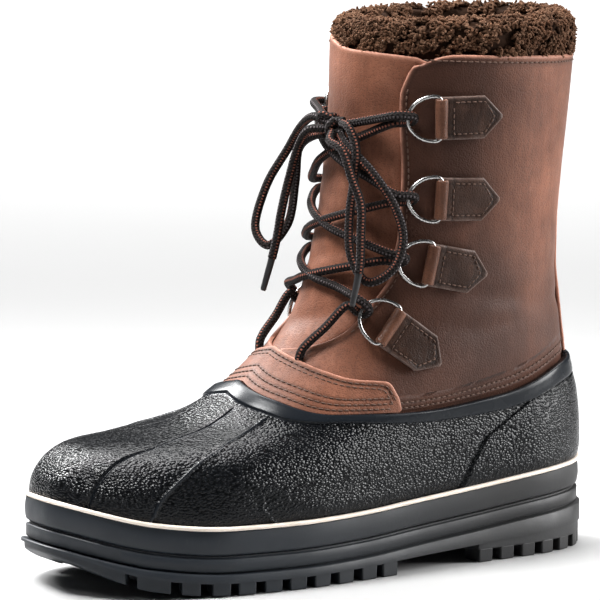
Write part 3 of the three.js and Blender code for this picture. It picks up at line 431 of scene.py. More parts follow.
def curve_through(knots, step):
    """Points a step apart on a smooth curve through knots."""
    knots = np.asarray(knots, float)
    gaps = np.maximum(np.linalg.norm(np.diff(knots, axis=0), axis=1), 1e-6) ** 0.5
    times = np.concatenate([[0], np.cumsum(gaps)])
    slopes = np.gradient(knots, times, axis=0)
    dense = []
    for k in range(len(knots) - 1):
        width = times[k + 1] - times[k]
        t = np.linspace(0, 1, 24, endpoint=False)[:, None]
        hold = (1 + 2 * t) * (1 - t) ** 2 * knots[k] + t * t * (3 - 2 * t) * knots[k + 1]
        turn = width * (t * (1 - t) ** 2 * slopes[k] + t * t * (t - 1) * slopes[k + 1])
        dense.append(hold + turn)
    dense = np.concatenate([*dense, knots[-1:]])
    walked = np.concatenate([[0], np.cumsum(np.linalg.norm(np.diff(dense, axis=0), axis=1))])
    goals = np.linspace(0, walked[-1], max(2, round(walked[-1] / step) + 1))
    return np.stack([np.interp(goals, walked, dense[:, k]) for k in range(3)], axis=-1)


# Materials

class Nodes:
    """A short way to write a material's nodes."""

    def __init__(self, name):
        self.material = bpy.data.materials.new(name)
        self.material.use_nodes = True
        self.tree = self.material.node_tree
        self.shader = self.tree.nodes["Principled BSDF"]
        self.place = self.node("ShaderNodeTexCoord").outputs["Object"]

    def node(self, kind, inputs=None, **settings):
        made = self.tree.nodes.new(kind)
        for key, value in settings.items():
            setattr(made, key, value)
        for key, value in (inputs or {}).items():
            self.put(made.inputs[key], value)
        return made

    def put(self, socket, value):
        if isinstance(value, bpy.types.NodeSocket):
            self.tree.links.new(value, socket)
        else:
            socket.default_value = value

    def set(self, **values):
        for key, value in values.items():
            self.put(self.shader.inputs[key.replace("_", " ")], value)

    def noise(self, scale, detail=3.0, rough=0.55, place=None, stretch=None):
        place = place or self.place
        if stretch:
            place = self.node("ShaderNodeMapping", {"Vector": place, "Scale": stretch}).outputs[0]
        inputs = {"Vector": place, "Scale": scale, "Detail": detail, "Roughness": rough}
        return self.node("ShaderNodeTexNoise", inputs).outputs["Fac"]

    def cells(self, scale, place=None):
        made = self.node("ShaderNodeTexVoronoi", {"Vector": place or self.place, "Scale": scale})
        return made.outputs["Distance"]

    def math(self, operation, a, b=0.0, c=0.0):
        made = self.node("ShaderNodeMath", {0: a, 1: b, 2: c}, operation=operation)
        return made.outputs[0]

    def ramp(self, value, low, high, to_low=0.0, to_high=1.0):
        inputs = {"Value": value, "From Min": low, "From Max": high, "To Min": to_low, "To Max": to_high}
        return self.node("ShaderNodeMapRange", inputs).outputs["Result"]

    def mix(self, share, a, b):
        made = self.node("ShaderNodeMix", data_type="RGBA")
        self.put(made.inputs[0], share)
        self.put(made.inputs[6], (*a, 1) if isinstance(a, tuple) else a)
        self.put(made.inputs[7], (*b, 1) if isinstance(b, tuple) else b)
        return made.outputs[2]

    def tone(self, name):
        return self.node("ShaderNodeAttribute", attribute_name=name, attribute_type="GEOMETRY").outputs["Fac"]

    def bump(self, height, strength, distance, normal=None):
        inputs = {"Height": height, "Strength": strength, "Distance": distance}
        if normal:
            inputs["Normal"] = normal
        return self.node("ShaderNodeBump", inputs).outputs["Normal"]


def leather_material(
    name="leather", dark=(0.11, 0.039, 0.021), light=(0.275, 0.107, 0.061), worn=0.5, gloss=0.0, painted_shade=0.0
):
    n = Nodes(name)
    patches = n.ramp(n.noise(22, 4, 0.6), 0.3, 0.72)
    streaks = n.ramp(n.noise(260, 4, 0.65, stretch=(1, 1, 0.12)), 0.42, 0.72)
    scuffs = n.ramp(n.noise(120, 5, 0.7, stretch=(1, 1, 0.5)), 0.52, 0.8)
    pores = n.ramp(n.cells(1000), 0.12, 0.6)
    body = n.mix(patches, dark, light)
    body = n.mix(n.math("MULTIPLY", streaks, 0.32), body, tuple(0.45 * c for c in dark))
    body = n.mix(n.math("MULTIPLY", scuffs, 0.5 * worn), body, (0.40, 0.185, 0.115))
    sunken = n.math("MULTIPLY", n.ramp(pores, 0.0, 0.6, 1.0, 0.0), 0.5)
    body = n.mix(sunken, body, tuple(0.35 * c for c in dark))
    # Painted shade: the leather is drawn darker round the hardware and paler towards the heel, by its place on
    # the boot, for the shade that falls there. How much of that is its own colour and how much is shade isn't
    # known.
    place = n.node("ShaderNodeSeparateXYZ", {0: n.place})
    ahead = n.ramp(place.outputs[1], 0.112, 0.068)
    shade_zone = n.math("ADD", ahead, n.ramp(place.outputs[2], 0.18, 0.12, 0.0, 0.75))
    shade_zone = n.math("MINIMUM", shade_zone, n.ramp(n.noise(30, 4), 0.3, 0.7, 0.8, 1.0))
    shade_zone = n.math("MULTIPLY", shade_zone, n.ramp(place.outputs[1], -0.01, 0.025))
    body = n.mix(n.math("MULTIPLY", shade_zone, painted_shade), body, tuple(0.3 * c for c in dark))
    edge = n.math("MULTIPLY", n.tone("edge"), n.ramp(n.noise(300, 3), 0.3, 0.6, 0.6, 1.0))
    body = n.mix(edge, body, tuple(min(1.0, 1.5 * c + 0.06) for c in light))
    body = n.mix(n.math("MULTIPLY", n.tone("seam"), 0.9), body, tuple(0.25 * c for c in dark))
    rough = n.ramp(n.noise(60, 4), 0.3, 0.7, 0.44 - gloss, 0.62 - gloss)
    n.set(Base_Color=body, Roughness=rough, Specular_IOR_Level=0.2)
    n.set(Sheen_Weight=0.12 * worn, Sheen_Roughness=0.45)
    grain = n.math("ADD", n.math("MULTIPLY", pores, 0.7), n.math("MULTIPLY", n.noise(800, 3), 0.6))
    folds = n.bump(n.noise(45, 3, 0.5), 0.3, 0.0016)
    n.set(Normal=n.bump(grain, 0.32, 0.0005, folds))
    return n.material


def shell_material():
    """Black rubber with a wrinkled pebble grain, smooth on the rim's band."""
    n = Nodes("shell_rubber")
    band = n.tone("band")
    drift = n.node("ShaderNodeTexNoise", {"Vector": n.place, "Scale": 55, "Detail": 2.0})
    pulled = n.node("ShaderNodeMix", data_type="VECTOR")
    n.put(pulled.inputs[0], 0.003)
    n.put(pulled.inputs[4], n.place)
    n.put(pulled.inputs[5], drift.outputs["Color"])
    bent = n.node("ShaderNodeMapping", {"Vector": pulled.outputs[1], "Scale": (1, 1, 1.5)}).outputs[0]
    pebbles = n.ramp(n.cells(600, bent), 0.1, 0.75, 1.0, 0.0)
    height = n.math("ADD", pebbles, n.math("MULTIPLY", n.noise(420, 2), 0.7))
    height = n.math("MULTIPLY", height, n.ramp(band, 0.0, 1.0, 1.0, 0.02))
    colour = n.mix(pebbles, (0.0014, 0.0016, 0.002), (0.0055, 0.0064, 0.008))
    n.set(Base_Color=n.mix(band, colour, (0.0085, 0.0105, 0.0135)), Specular_IOR_Level=0.18)
    rough = n.ramp(n.noise(90, 3), 0.3, 0.7, 0.22, 0.28)
    n.set(Roughness=n.math("ADD", rough, n.math("MULTIPLY", band, 0.02)))
    n.set(Normal=n.bump(height, 0.9, 0.00036, n.bump(n.noise(30, 2), 0.15, 0.002)))
    return n.material


def sole_material():
    n = Nodes("sole_rubber")
    parts = n.node("ShaderNodeSeparateXYZ", {0: n.place})
    # Painted light: the sole is drawn lighter and warmer towards the heel, for the floor's light bounced onto
    # it.
    painted_heel_light = n.ramp(parts.outputs[1], -0.06, 0.1)
    colour = n.mix(painted_heel_light, (0.011, 0.0150, 0.0205), (0.019, 0.0185, 0.0185))
    colour = n.mix(n.math("MULTIPLY", n.ramp(n.noise(26, 4), 0.35, 0.7), 0.35), colour, (0.019, 0.021, 0.025))
    dust = n.math("MULTIPLY", n.ramp(n.noise(260, 4), 0.6, 0.8), 0.4)
    n.set(Base_Color=n.mix(dust, colour, (0.032, 0.033, 0.035)))
    n.set(Roughness=n.ramp(n.noise(70, 3), 0.3, 0.7, 0.42, 0.56), Specular_IOR_Level=0.34)
    n.set(Normal=n.bump(n.noise(700, 3), 0.14, 0.0004, n.bump(n.noise(40, 2), 0.15, 0.0015)))
    return n.material


def piping_material():
    n = Nodes("piping")
    colour = n.mix(n.ramp(n.noise(120, 4), 0.45, 0.8), (0.92, 0.81, 0.71), (0.78, 0.66, 0.55))
    n.set(Base_Color=colour, Roughness=0.5, Specular_IOR_Level=0.4)
    n.set(Normal=n.bump(n.noise(800, 2), 0.08, 0.0003))
    return n.material


def fleece_material():
    n = Nodes("fleece")
    mottled = n.mix(n.ramp(n.noise(60, 4), 0.3, 0.7), (0.062, 0.028, 0.015), (0.15, 0.073, 0.041))
    # Painted shade: each curl is drawn darker towards its root, the backing under the curls nearly as dark.
    root_shaded = n.mix(n.tone("root_shade"), (0.010, 0.005, 0.003), mottled)
    n.set(Base_Color=n.mix(n.math("MULTIPLY", n.tone("pale"), 0.55), root_shaded, (0.26, 0.155, 0.10)))
    n.set(Roughness=0.92, Specular_IOR_Level=0.08)
    n.set(Normal=n.bump(n.noise(1700, 3), 0.5, 0.0006))
    return n.material


def felt_material():
    n = Nodes("felt")
    colour = n.mix(n.noise(90, 5), (0.075, 0.066, 0.060), (0.15, 0.13, 0.115))
    n.set(Base_Color=colour, Roughness=0.95, Specular_IOR_Level=0.15, Sheen_Weight=0.3)
    n.set(Normal=n.bump(n.noise(1200, 4, 0.7), 0.5, 0.0007))
    return n.material


def steel_material():
    n = Nodes("steel")
    n.set(Base_Color=n.mix(n.noise(400, 3), (0.36, 0.355, 0.35), (0.52, 0.51, 0.50)), Metallic=1.0)
    n.set(Roughness=n.ramp(n.noise(500, 3), 0.3, 0.7, 0.2, 0.32))
    n.set(Normal=n.bump(n.noise(300, 2), 0.02, 0.0002))
    return n.material


def thread_material():
    n = Nodes("thread")
    n.set(Base_Color=n.mix(n.noise(900, 2), (0.05, 0.024, 0.015), (0.15, 0.075, 0.047)), Roughness=0.7)
    n.set(Normal=n.bump(n.noise(2500, 2), 0.4, 0.0002))
    return n.material


def braid_material():
    """Round braid: strands that cross on the bias, and rows of pale flecks along the lace."""
    n = Nodes("lace_cord")
    parts = n.node("ShaderNodeSeparateXYZ", {0: n.node("ShaderNodeUVMap", uv_map="along").outputs[0]})
    around, along = parts.outputs[0], parts.outputs[1]

    def wave(turns, per_mm, shift=0.0):
        phase = n.math("ADD", n.math("MULTIPLY", around, turns), n.math("MULTIPLY", along, per_mm))
        return n.math("SINE", n.math("MULTIPLY", n.math("ADD", phase, shift), 2 * math.pi))

    strands = n.math("MAXIMUM", wave(6, 0.42), wave(-6, 0.42))
    dashes = n.ramp(wave(0, 0.6), -0.1, 0.45)
    flecks = n.math("MULTIPLY", n.ramp(wave(4, 0.0), 0.35, 0.8), dashes)
    yarn = n.mix(n.ramp(wave(2, 0.0, 0.125), -0.2, 0.2), (0.27, 0.095, 0.063), (0.105, 0.09, 0.094))
    black = n.mix(n.ramp(strands, -0.2, 1.0), (0.003, 0.0025, 0.0025), (0.017, 0.013, 0.012))
    n.set(Base_Color=n.mix(flecks, black, yarn), Roughness=0.75, Specular_IOR_Level=0.12)
    height = n.math("ADD", n.math("MULTIPLY", strands, 0.5), flecks)
    n.set(Normal=n.bump(height, 0.8, 0.0005, n.bump(n.noise(2200, 2), 0.2, 0.0003)))
    return n.material


def plastic_material():
    n = Nodes("aglet")
    n.set(Base_Color=n.mix(n.noise(200, 2), (0.012, 0.012, 0.013), (0.03, 0.029, 0.03)), Roughness=0.35)
    return n.material


LEATHER = leather_material()
# The shaft's leather carries painted shade round the hardware.
SHAFT_LEATHER = leather_material("shaft_leather", painted_shade=0.93)
TAB_LEATHER = leather_material("tab_leather", (0.018, 0.008, 0.005), (0.062, 0.029, 0.018), 0.25, 0.08)
# The roll is the flap's own leather, drawn lighter than the flap: a painted highlight on its round.
HIGHLIT_ROLL_LEATHER = leather_material("roll_leather_painted_highlight", (0.065, 0.026, 0.015), (0.16, 0.070, 0.042), 0.2, 0.16)
SHELL = shell_material()
SOLE = sole_material()
PIPING = piping_material()
FLEECE = fleece_material()
FELT = felt_material()
STEEL = steel_material()
THREAD = thread_material()
BRAID = braid_material()
AGLET = plastic_material()


# Sole

ROUND = 2 * np.pi * np.arange(288) / 288


def sole_ring(inset, height_of):
    p = sole_outline(ROUND, inset)
    return points(p[:, 0], p[:, 1], height_of(p[:, 1]))


def softened(levels, bevel=0.5):
    """Rings of a side given as (inset, height function, offset): each corner becomes two rings."""
    rings = []
    for k, (inset, height_of, up) in enumerate(levels):
        for other in (k - 1, k + 1):
            if 0 <= other < len(levels):
                goal_inset, goal_height, goal_up = levels[other]
                here = sole_ring(inset, lambda y, h=height_of, u=up: h(y) + u)
                there = sole_ring(goal_inset, lambda y, h=goal_height, u=goal_up: h(y) + u)
                apart = np.linalg.norm(there - here, axis=1, keepdims=True)
                rings.append(here + (there - here) * np.minimum(bevel / np.maximum(apart, 1e-6), 0.45))
            else:
                rings.append(sole_ring(inset, lambda y, h=height_of, u=up: h(y) + u))
    return rings


def block(plan, low_of, high_of, slope=0.0):
    """A block with a polygon for its plan. Its foot may be smaller than its top by a slope."""
    plan = np.asarray(plan, float)
    middle = plan.mean(axis=0)
    foot = middle + (plan - middle) * (1 - slope)
    low = points(foot[:, 0], foot[:, 1], low_of(foot[:, 1]))
    high = points(plan[:, 0], plan[:, 1], high_of(plan[:, 1]))
    count = len(plan)
    sides = [[k, (k + 1) % count, (k + 1) % count + count, k + count] for k in range(count)]
    return np.concatenate([low, high]), [list(range(count))[::-1], list(range(count, 2 * count)), *sides]


def lug_angles(start, stop, side, pitch):
    angles, walked = [], 0.0
    step = math.radians(0.5)
    a = math.radians(start)
    while a <= math.radians(stop):
        if walked <= 0:
            angles.append(side * a)
            walked += pitch
        walked -= float(np.linalg.norm(sole_outline(side * a, 0) - sole_outline(side * (a + step), 0)))
        a += step
    return angles


def edge_lug(phi, width, top_of):
    speed = float(np.linalg.norm(sole_outline(phi + 0.01, 0) - sole_outline(phi, 0))) / 0.01
    turn = width / 2 / speed
    outer = [sole_outline(phi + k * turn, LUG_INSET) for k in (-1, -0.5, 0, 0.5, 1)]
    inner = [sole_outline(phi + k * turn, LUG_REACH) for k in (0.8, -0.8)]
    return block(outer + inner, tread_height, lambda y: top_of(y) + WEB_OVERLAP, 0.03)


def build_sole():
    flare = -1.1 * smooth(degrees_of(ROUND), 62, 22)[:, None]
    body = slab(softened([
        (flare, web_height, 0),
        (flare * 0.9, plate_height, 0),
        (GROOVE_DEPTH + STEP_INSET, plate_height, 0),
        (GROOVE_DEPTH + STEP_INSET, plate_height, GROOVE_HEIGHT),
        (STEP_INSET, plate_height, GROOVE_HEIGHT),
        (STEP_INSET, step_height, -GROOVE_HEIGHT),
        (GROOVE_DEPTH + STEP_INSET, step_height, -GROOVE_HEIGHT),
        (GROOVE_DEPTH + STEP_INSET, step_height, 0),
    ]))
    plate = make_object("outsole_plate", *body, SOLE, sharp=50)
    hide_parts("outsole")

    def heel_top(y):
        return np.full(np.shape(y), float(HEEL_LUG_DEPTH))

    lugs = []
    for side in (1, -1):
        lugs.append(edge_lug(side * math.radians(BROAD_LUG_ANGLE), BROAD_LUG_WIDTH, web_height))
        for phi in lug_angles(*FOREFOOT_ANGLES, side, LUG_PITCH):
            lugs.append(edge_lug(phi, LUG_WIDTH, web_height))
        for phi in lug_angles(*HEEL_ANGLES, side, HEEL_LUG_PITCH):
            lugs.append(edge_lug(phi, HEEL_LUG_WIDTH, heel_top))
    arc = np.radians(np.linspace(-TOE_LUG_ANGLE, TOE_LUG_ANGLE, 25))
    toe = np.concatenate([sole_outline(arc, LUG_INSET), sole_outline(arc[::-1], LUG_REACH)])
    lugs.append(block(toe, tread_height, lambda y: web_height(y) + WEB_OVERLAP))
    outline = sole_outline(ROUND, LUG_INSET)
    heel = outline[outline[:, 1] > HEEL_FRONT]
    heel = np.concatenate([[[heel[0, 0], HEEL_FRONT]], heel, [[heel[-1, 0], HEEL_FRONT]]])
    lugs.append(block(heel, heel_top, lambda y: web_height(y) + WEB_OVERLAP))
    for start, stop, pitch, top_of in ((0.5, 0.88, 0.048, web_height), (0.05, 0.24, 0.055, heel_top)):
        for k in range(int((stop - start) / pitch + 1e-9) + 1):
            y = SOLE_LENGTH * (0.5 - start - k * pitch)
            lean = (1 if k % 2 else -1) * CENTRE_LUG_LEAN
            long, wide = CENTRE_LUG_LENGTH / 2, CENTRE_LUG_WIDTH / 2
            plan = [
                (-long, y - wide - lean), (long, y - wide + lean),
                (long, y + wide + lean), (-long, y + wide - lean),
            ]
            lugs.append(block(plan, tread_height, lambda yy, top=top_of: top(yy) + WEB_OVERLAP, 0.05))
    lug_piece = make_object("outsole_lugs", *join(lugs), SOLE)
    bevel = lug_piece.modifiers.new("rounded", "BEVEL")
    bevel.width = 0.7 * MM
    bevel.segments = 2
    bevel.limit_method = "ANGLE"
    bevel.angle_limit = math.radians(40)
    lug_piece.data.set_sharp_from_angle(angle=math.radians(35))


def build_midsole():
    low = sole_ring(GROOVE_DEPTH + STEP_INSET, lambda y: step_height(y) + GAP)
    corner = sole_ring(STEP_INSET, lambda y: step_height(y) + GAP + GROOVE_HEIGHT)
    high = upright(ROUND, -GAP, np.full(len(ROUND), SHELL_WALL + GAP + PIPING_WIDTH * 0.6))
    outward = unit(points(high[:, 0], high[:, 1] * 0.4, 0 * high[:, 0]))
    rings = [low, lerp(low, corner, 0.5), lerp(low, corner, 0.85)]
    for t in (0.03, 0.1, 0.25, 0.45, 0.65, 0.82, 0.92, 0.97):
        rings.append(lerp(corner, high, t) + outward * 0.7 * math.sin(math.pi * t))
    rings.append(high)
    piece = make_object("midsole_band", *slab(rings), SOLE, sharp=60)
    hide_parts("midsole")


def build_piping():
    rings = []
    inside = SHELL_WALL + 2 * GAP
    foot = upright(ROUND, 0, np.full(len(ROUND), inside))
    head = upright(ROUND, PIPING_HEIGHT, np.full(len(ROUND), inside))
    outward = unit(upright(ROUND, 0, np.full(len(ROUND), inside + 1)) - foot)
    for k in range(11):
        turn = math.pi * k / 10
        bulge = PIPING_WIDTH * math.sin(turn) ** 0.6
        rings.append(lerp(foot, head, (1 - math.cos(turn)) / 2) + outward * bulge)
    piece = make_object("piping_bead", *looped(rings), PIPING, sharp=70)
    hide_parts("piping")


def build_insole():
    inset = np.full(len(ROUND), -(LEATHER_WALL + GAP))
    low, high = upright(ROUND, 0, inset), upright(ROUND, INSOLE_THICKNESS, inset)
    edge = upright(ROUND, INSOLE_THICKNESS, inset - 1.5)
    edge[:, 2] += 0.4
    piece = make_object("insole_felt", *slab([low, lerp(low, high, 0.85), edge]), FELT, sharp=60)
    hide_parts("insole")


# Rubber bottom

def shell_relief(phi, level, share):
    """Height of the moulded ribs and the heel counter over the plain rubber wall, in millimetres."""
    angle = np.abs(np.degrees((phi + np.pi) % (2 * np.pi) - np.pi))
    reach = np.linalg.norm(last_point(phi + 0.01, level) - last_point(phi - 0.01, level), axis=-1) / 0.02
    ends = smooth(share, 0.02, 0.07) * smooth(share, 1.0, 0.97)
    cap, edge = (np.radians(column(rows, "level", "angle")(share) - angle) * reach for rows in RIBS)
    # The cap over the toe stands proud behind a groove, sharpest near the sole
    sharp = lerp(0.55, 1.0, smooth(share, 0.75, 0.35))
    step = 0.55 * smooth(cap, -0.5, 0.5) * smooth(cap, 60, 8)
    relief = ends * sharp * (step - 0.75 * np.exp(-(((cap + 0.9) / 0.75) ** 2)))
    # A fine ridge from the rim down to the ball, on a shallow step
    ridge = ends * np.exp(-((edge / 0.95) ** 2))
    relief += lerp(0.9, 1.45, smooth(share, 0.8, 0.3)) * ridge
    relief += ends * 0.35 * smooth(edge, -0.6, 0.6) * smooth(edge, 24, 4)
    third = np.radians(lerp(70, 64, np.clip(share / 0.2, 0, 1)) - angle) * reach
    relief += 0.6 * np.exp(-((third / 0.8) ** 2)) * smooth(share, 0.02, 0.06) * smooth(share, 0.32, 0.18)
    behind = np.radians(angle - counter_angle_at(share)) * reach
    step = COUNTER_STEP * 0.8 * smooth(behind, -0.4, 1.0)
    relief += ends * (step - 0.8 * np.exp(-(((behind + 1.0) / 0.8) ** 2)))
    groove = ends * np.exp(-(((cap + 0.7) / 0.9) ** 2))
    return relief - 0.3, np.maximum(0.85 * ridge, 0.7 * groove)


def build_shell():
    # Columns lie closer together where a rib or the counter's edge runs
    turn = np.radians(np.linspace(0, 180, 1801))
    degrees = np.degrees(turn)
    weight = 1 + 3.2 * smooth(degrees, 10, 14) * smooth(degrees, 50, 46)
    weight = weight + 2.2 * smooth(degrees, 60, 63) * smooth(degrees, 73, 70)
    weight = weight + 2.4 * smooth(degrees, 109, 112) * smooth(degrees, 134, 131)
    walked = np.concatenate([[0], np.cumsum(weight[1:])])
    half = np.interp(np.linspace(0, walked[-1], 321), walked, turn)
    phi = np.concatenate([half, 2 * np.pi - half[-2:0:-1]])[None, :]
    shares = np.linspace(0, 1, 118)[:, None]
    foot_level = level_at(phi, feather_height(last_point(phi, 0)[..., 1]))
    top_level = rim_level(phi, RIM_BAND)
    level = lerp(foot_level, top_level, shares)
    share = level / top_level
    base, normal = last_point(phi, level), last_normal(phi, level)
    flat = normal * np.array([1, 1, 0])
    lean = smooth(shares, 0.02, 0.14)[..., None]
    direction = unit(lerp(unit(flat), normal, lean))
    relief, plain = shell_relief(phi, level, share)
    foot_line = 0.5 * (1 - smooth(shares * np.ones_like(level), 0.0, 0.03))
    outer = base + direction * (GAP + SHELL_WALL + relief - foot_line)[..., None]
    edge_rows = [RIM_BAND, RIM_BAND - 0.3, RIM_BAND - 0.7, RIM_BAND - 1.3]
    below = np.array([*edge_rows, 6, 3.5, 1.4, 0.5, 0.1, 0])[:, None]
    rise = np.array([-0.2, 0.45, 0.85, 1, 1.1, 1.05, 1, 0.7, 0.2, -0.4])[:, None] * RIM_STEP
    levels = rim_level(phi, below)
    band = surface(phi, levels, GAP + SHELL_WALL + rise)
    inside = [
        surface(phi, lerp(foot_level, levels[-1:], t), np.full(phi.shape, GAP))[0]
        for t in (0.99, 0.8, 0.6, 0.4, 0.2, 0.0)
    ]
    rings = [*outer[:-1], *band, *inside]
    tone = np.concatenate([plain[:-1].ravel(), np.ones((len(band) + len(inside)) * phi.shape[1])])
    piece = make_object("shell_bottom", *looped(rings), SHELL, tones={"band": tone})
    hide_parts("shell")


# Leather

def rounded(distance, radius=1.0):
    """Share of the full thickness at a distance from a cut edge."""
    t = np.clip(distance / radius, 0, 1)
    return np.sqrt(np.maximum(1 - (1 - t) ** 2, 0.0)) * 0.85 + 0.15


def edged(count, length, fine=(0, 0.12, 0.35, 0.75, 1.3, 2.2)):
    """Shares from 0 to 1 with extra stops near both ends, which lie at distances in millimetres."""
    near = np.array(fine) / length
    middle = np.linspace(near[-1], 1 - near[-1], count)[1:-1]
    return np.concatenate([near, middle, 1 - near[::-1]])


STITCHES = []


def leather_sheet(
    name, phi, level, low, high, edge_distance, tones=None, node=None, material=None, shape=None
):
    """A leather piece on the last between two offsets, with rounded cut edges."""
    half = (high - low) / 2 * rounded(edge_distance)
    middle = (high + low) / 2 + (0 if shape is None else shape)
    outer, inner = surface(phi, level, middle + half), surface(phi, level, middle - half)
    edge = np.exp(-((edge_distance / 1.2) ** 2))
    values = {"edge": edge, "seam": np.zeros_like(edge), **(tones or {})}
    values = {key: np.tile(np.broadcast_to(value, edge.shape).ravel(), 2) for key, value in values.items()}
    piece = make_object(name, *sheet_solid(outer, inner), material or LEATHER, tones=values)
    if node:
        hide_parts(node)
    return piece


def stitch_row(path, pitch=3.4, length=2.5, radius=0.42):
    """Stitches along points on a surface: short threads that dip into it at both ends."""
    path = np.asarray(path, float)
    walked = np.concatenate([[0], np.cumsum(np.linalg.norm(np.diff(path, axis=0), axis=1))])
    for start in np.arange(pitch * 0.3, walked[-1] - length, pitch):
        goals = start + length * np.array([0, 0.12, 0.5, 0.88, 1])
        spine = np.stack([np.interp(goals, walked, path[:, k]) for k in range(3)], axis=-1)
        STITCHES.append(tube(spine, radius * np.array([0.35, 0.8, 1, 0.8, 0.35]), 6)[:2])


def stitches_on(phi, level, out, **options):
    stitch_row(surface(phi, level, out), **options)


def leather_level(phi, distance):
    """The level a distance up the leather from the rubber's rim."""
    return rim_level(phi, -np.asarray(distance, float))


def creases(phi, level):
    """Main creases of the shaft, one by one: angle, height share, length and depth in millimetres."""
    spots = [
        (96, 0.47, 34, -0.9), (110, 0.53, 40, -0.8), (140, 0.50, 44, -1.0), (-96, 0.47, 34, -0.9),
        (-118, 0.54, 40, -0.9), (-146, 0.49, 40, -0.9), (78, 0.70, 30, 0.5), (-80, 0.70, 30, 0.5),
    ]
    p = last_point(phi, level)
    total = np.zeros(p.shape[:2])
    for angle, rise, long, deep in spots:
        centre_phi = math.radians(angle)
        centre = last_point(centre_phi, level_at(centre_phi, COLLAR_HEIGHT * rise))
        d = p - centre
        across = np.hypot(d[..., 0], d[..., 1])
        total += deep * np.exp(-((across / long) ** 2) - ((d[..., 2] - 0.12 * across) / 5.5) ** 2)
    return total


def build_shaft():
    rises = np.concatenate([
        np.linspace(0.4405, 0.4475, 9), np.linspace(0.449, 0.47, 10), np.linspace(0.475, 0.985, 84),
        [0.992, 0.996, 0.9985, 1.0],
    ])
    stops = edged(190, 300)
    half_low = np.full(14, 1e-3)
    half_high = throat_angle_at(np.clip(rises, 0.44, 1.03))
    half = np.radians(np.concatenate([half_low, half_high]))[:, None]
    phi = lerp(half, 2 * np.pi - half, stops[None, :])
    bottom = np.array([-LEATHER_TUCK, -6, -2, 0.9, 2, 3.4, 4, 4.6, 7, 8, 8.6, 9.2, 11, 14])[:, None]
    low_levels = leather_level(phi[:14], bottom)
    front_z = COLLAR_HEIGHT * rises[:, None]
    # The rows above run level at the throat and follow the collar's slope behind
    start = leather_level(phi[14:], 14.0)
    share = (rises[:, None] - rises[0]) / (1 - rises[0])
    throat_level = level_at(phi[14:], front_z)
    blended = lerp(start, 1.0, share)
    near = np.exp(-((degrees_of(phi[14:]) - np.degrees(half[14:])) / 11) ** 2)
    high_levels = lerp(blended, np.minimum(throat_level, 1.0), near)
    level = np.concatenate([low_levels, high_levels])
    p = last_point(phi, level)
    across = np.linalg.norm(np.diff(p, axis=1), axis=-1)
    left = np.concatenate([np.zeros((len(p), 1)), np.cumsum(across, axis=1)], axis=1)
    side = np.minimum(left, left[:, -1:] - left)
    side[:14] = 9
    up = np.linalg.norm(np.diff(p, axis=0), axis=-1)
    climbed = np.concatenate([np.zeros((1, p.shape[1])), np.cumsum(up, axis=0)])
    top = climbed[-1:] - climbed
    distance = np.minimum(side, top)
    shape = creases(phi, level)
    shape = shape * smooth(distance, 1, 8)
    shape[:4] = -2 * GAP
    rows = np.concatenate([bottom.ravel(), np.full(len(rises), 99.0)])[:, None] * np.ones_like(level)
    seam = sum(np.exp(-((rows - d) / 0.35) ** 2) for d in (4.0, 8.6))
    seam = seam + np.exp(-((side - 3.6) / 0.8) ** 2) * 0.6 + np.exp(-((top - 3.4) / 0.8) ** 2) * 0.6
    shape = shape - 0.3 * np.clip(seam, 0, 1)
    tones = {"seam": np.clip(seam, 0, 1)}
    leather_sheet(
        "shaft_leather", phi, level, -LEATHER_WALL, 0, distance, tones, "shaft", SHAFT_LEATHER, shape
    )

    # Stitches round the throat's edges, under the collar and along the rubber
    for sign in (1, -1):
        height = np.linspace(0.475, 0.962, 160)
        edge = throat_angle_at(height)
        centre_phi = np.radians(edge)
        edge_level = level_at(centre_phi, COLLAR_HEIGHT * height)
        travel = last_point(centre_phi + 0.01, edge_level) - last_point(centre_phi, edge_level)
        girth = np.linalg.norm(travel, axis=-1) / 0.01
        turned = centre_phi + 3.6 / girth
        stitches_on(sign * turned, level_at(turned, COLLAR_HEIGHT * height), np.full(160, 0.05))
        run = np.radians(np.linspace(50, 166, 220))
        stitches_on(sign * run, slide(sign * run, 1.0, -3.4), np.full(220, 0.05))
        run = np.radians(np.linspace(80, 166, 160))
        for up_from_rim in (4.0, 8.6):
            stitches_on(sign * run, leather_level(sign * run, up_from_rim), np.full(160, 0.05))


def build_vamp():
    end = math.radians(84)
    stops = edged(150, 230)
    phi = lerp(-end, end, stops)[None, :]
    shares = edged(26, 26)[:, None]
    low = leather_level(phi, 0.9)
    high = level_at(phi, COLLAR_HEIGHT * vamp_rise_at(degrees_of(phi)))
    high = np.maximum(high, low + 0.004)
    level = lerp(low, high, shares)
    p = last_point(phi, level)
    tall = np.linalg.norm(p[-1] - p[0], axis=-1)[None, :]
    top = (1 - shares) * tall
    side = np.minimum(stops, 1 - stops)[None, :] * 230
    distance = np.minimum(top, side)
    above = shares * tall
    seam = sum(np.exp(-((above - d) / 0.8) ** 2) for d in (3.6, 7.8, 12.0))
    seam = seam + np.exp(-((top - 3.2) / 0.8) ** 2)
    seam = np.clip(seam, 0, 1) * smooth(tall, 12, 20)
    shape = -0.25 * seam
    leather_sheet(
        "vamp_leather", phi, level, GAP, GAP + OVERLAY, distance, {"seam": seam * 0.8}, "vamp", shape=shape
    )
    run = np.radians(np.linspace(-80, 80, 330))
    out = np.full(330, GAP + OVERLAY + 0.05)
    line = level_at(run, COLLAR_HEIGHT * vamp_rise_at(degrees_of(run)))
    height = np.linalg.norm(last_point(run, line) - last_point(run, leather_level(run, 0.9)), axis=-1)
    for up_from_rim in (4.5, 8.7, 12.9):
        keep = height > up_from_rim + 2
        stitches_on(run[keep], leather_level(run[keep], up_from_rim), out[keep])
    for below in (2.8, 5.4):
        keep = height > below + 4
        stitches_on(run[keep], slide(run[keep], line[keep], -below), out[keep])


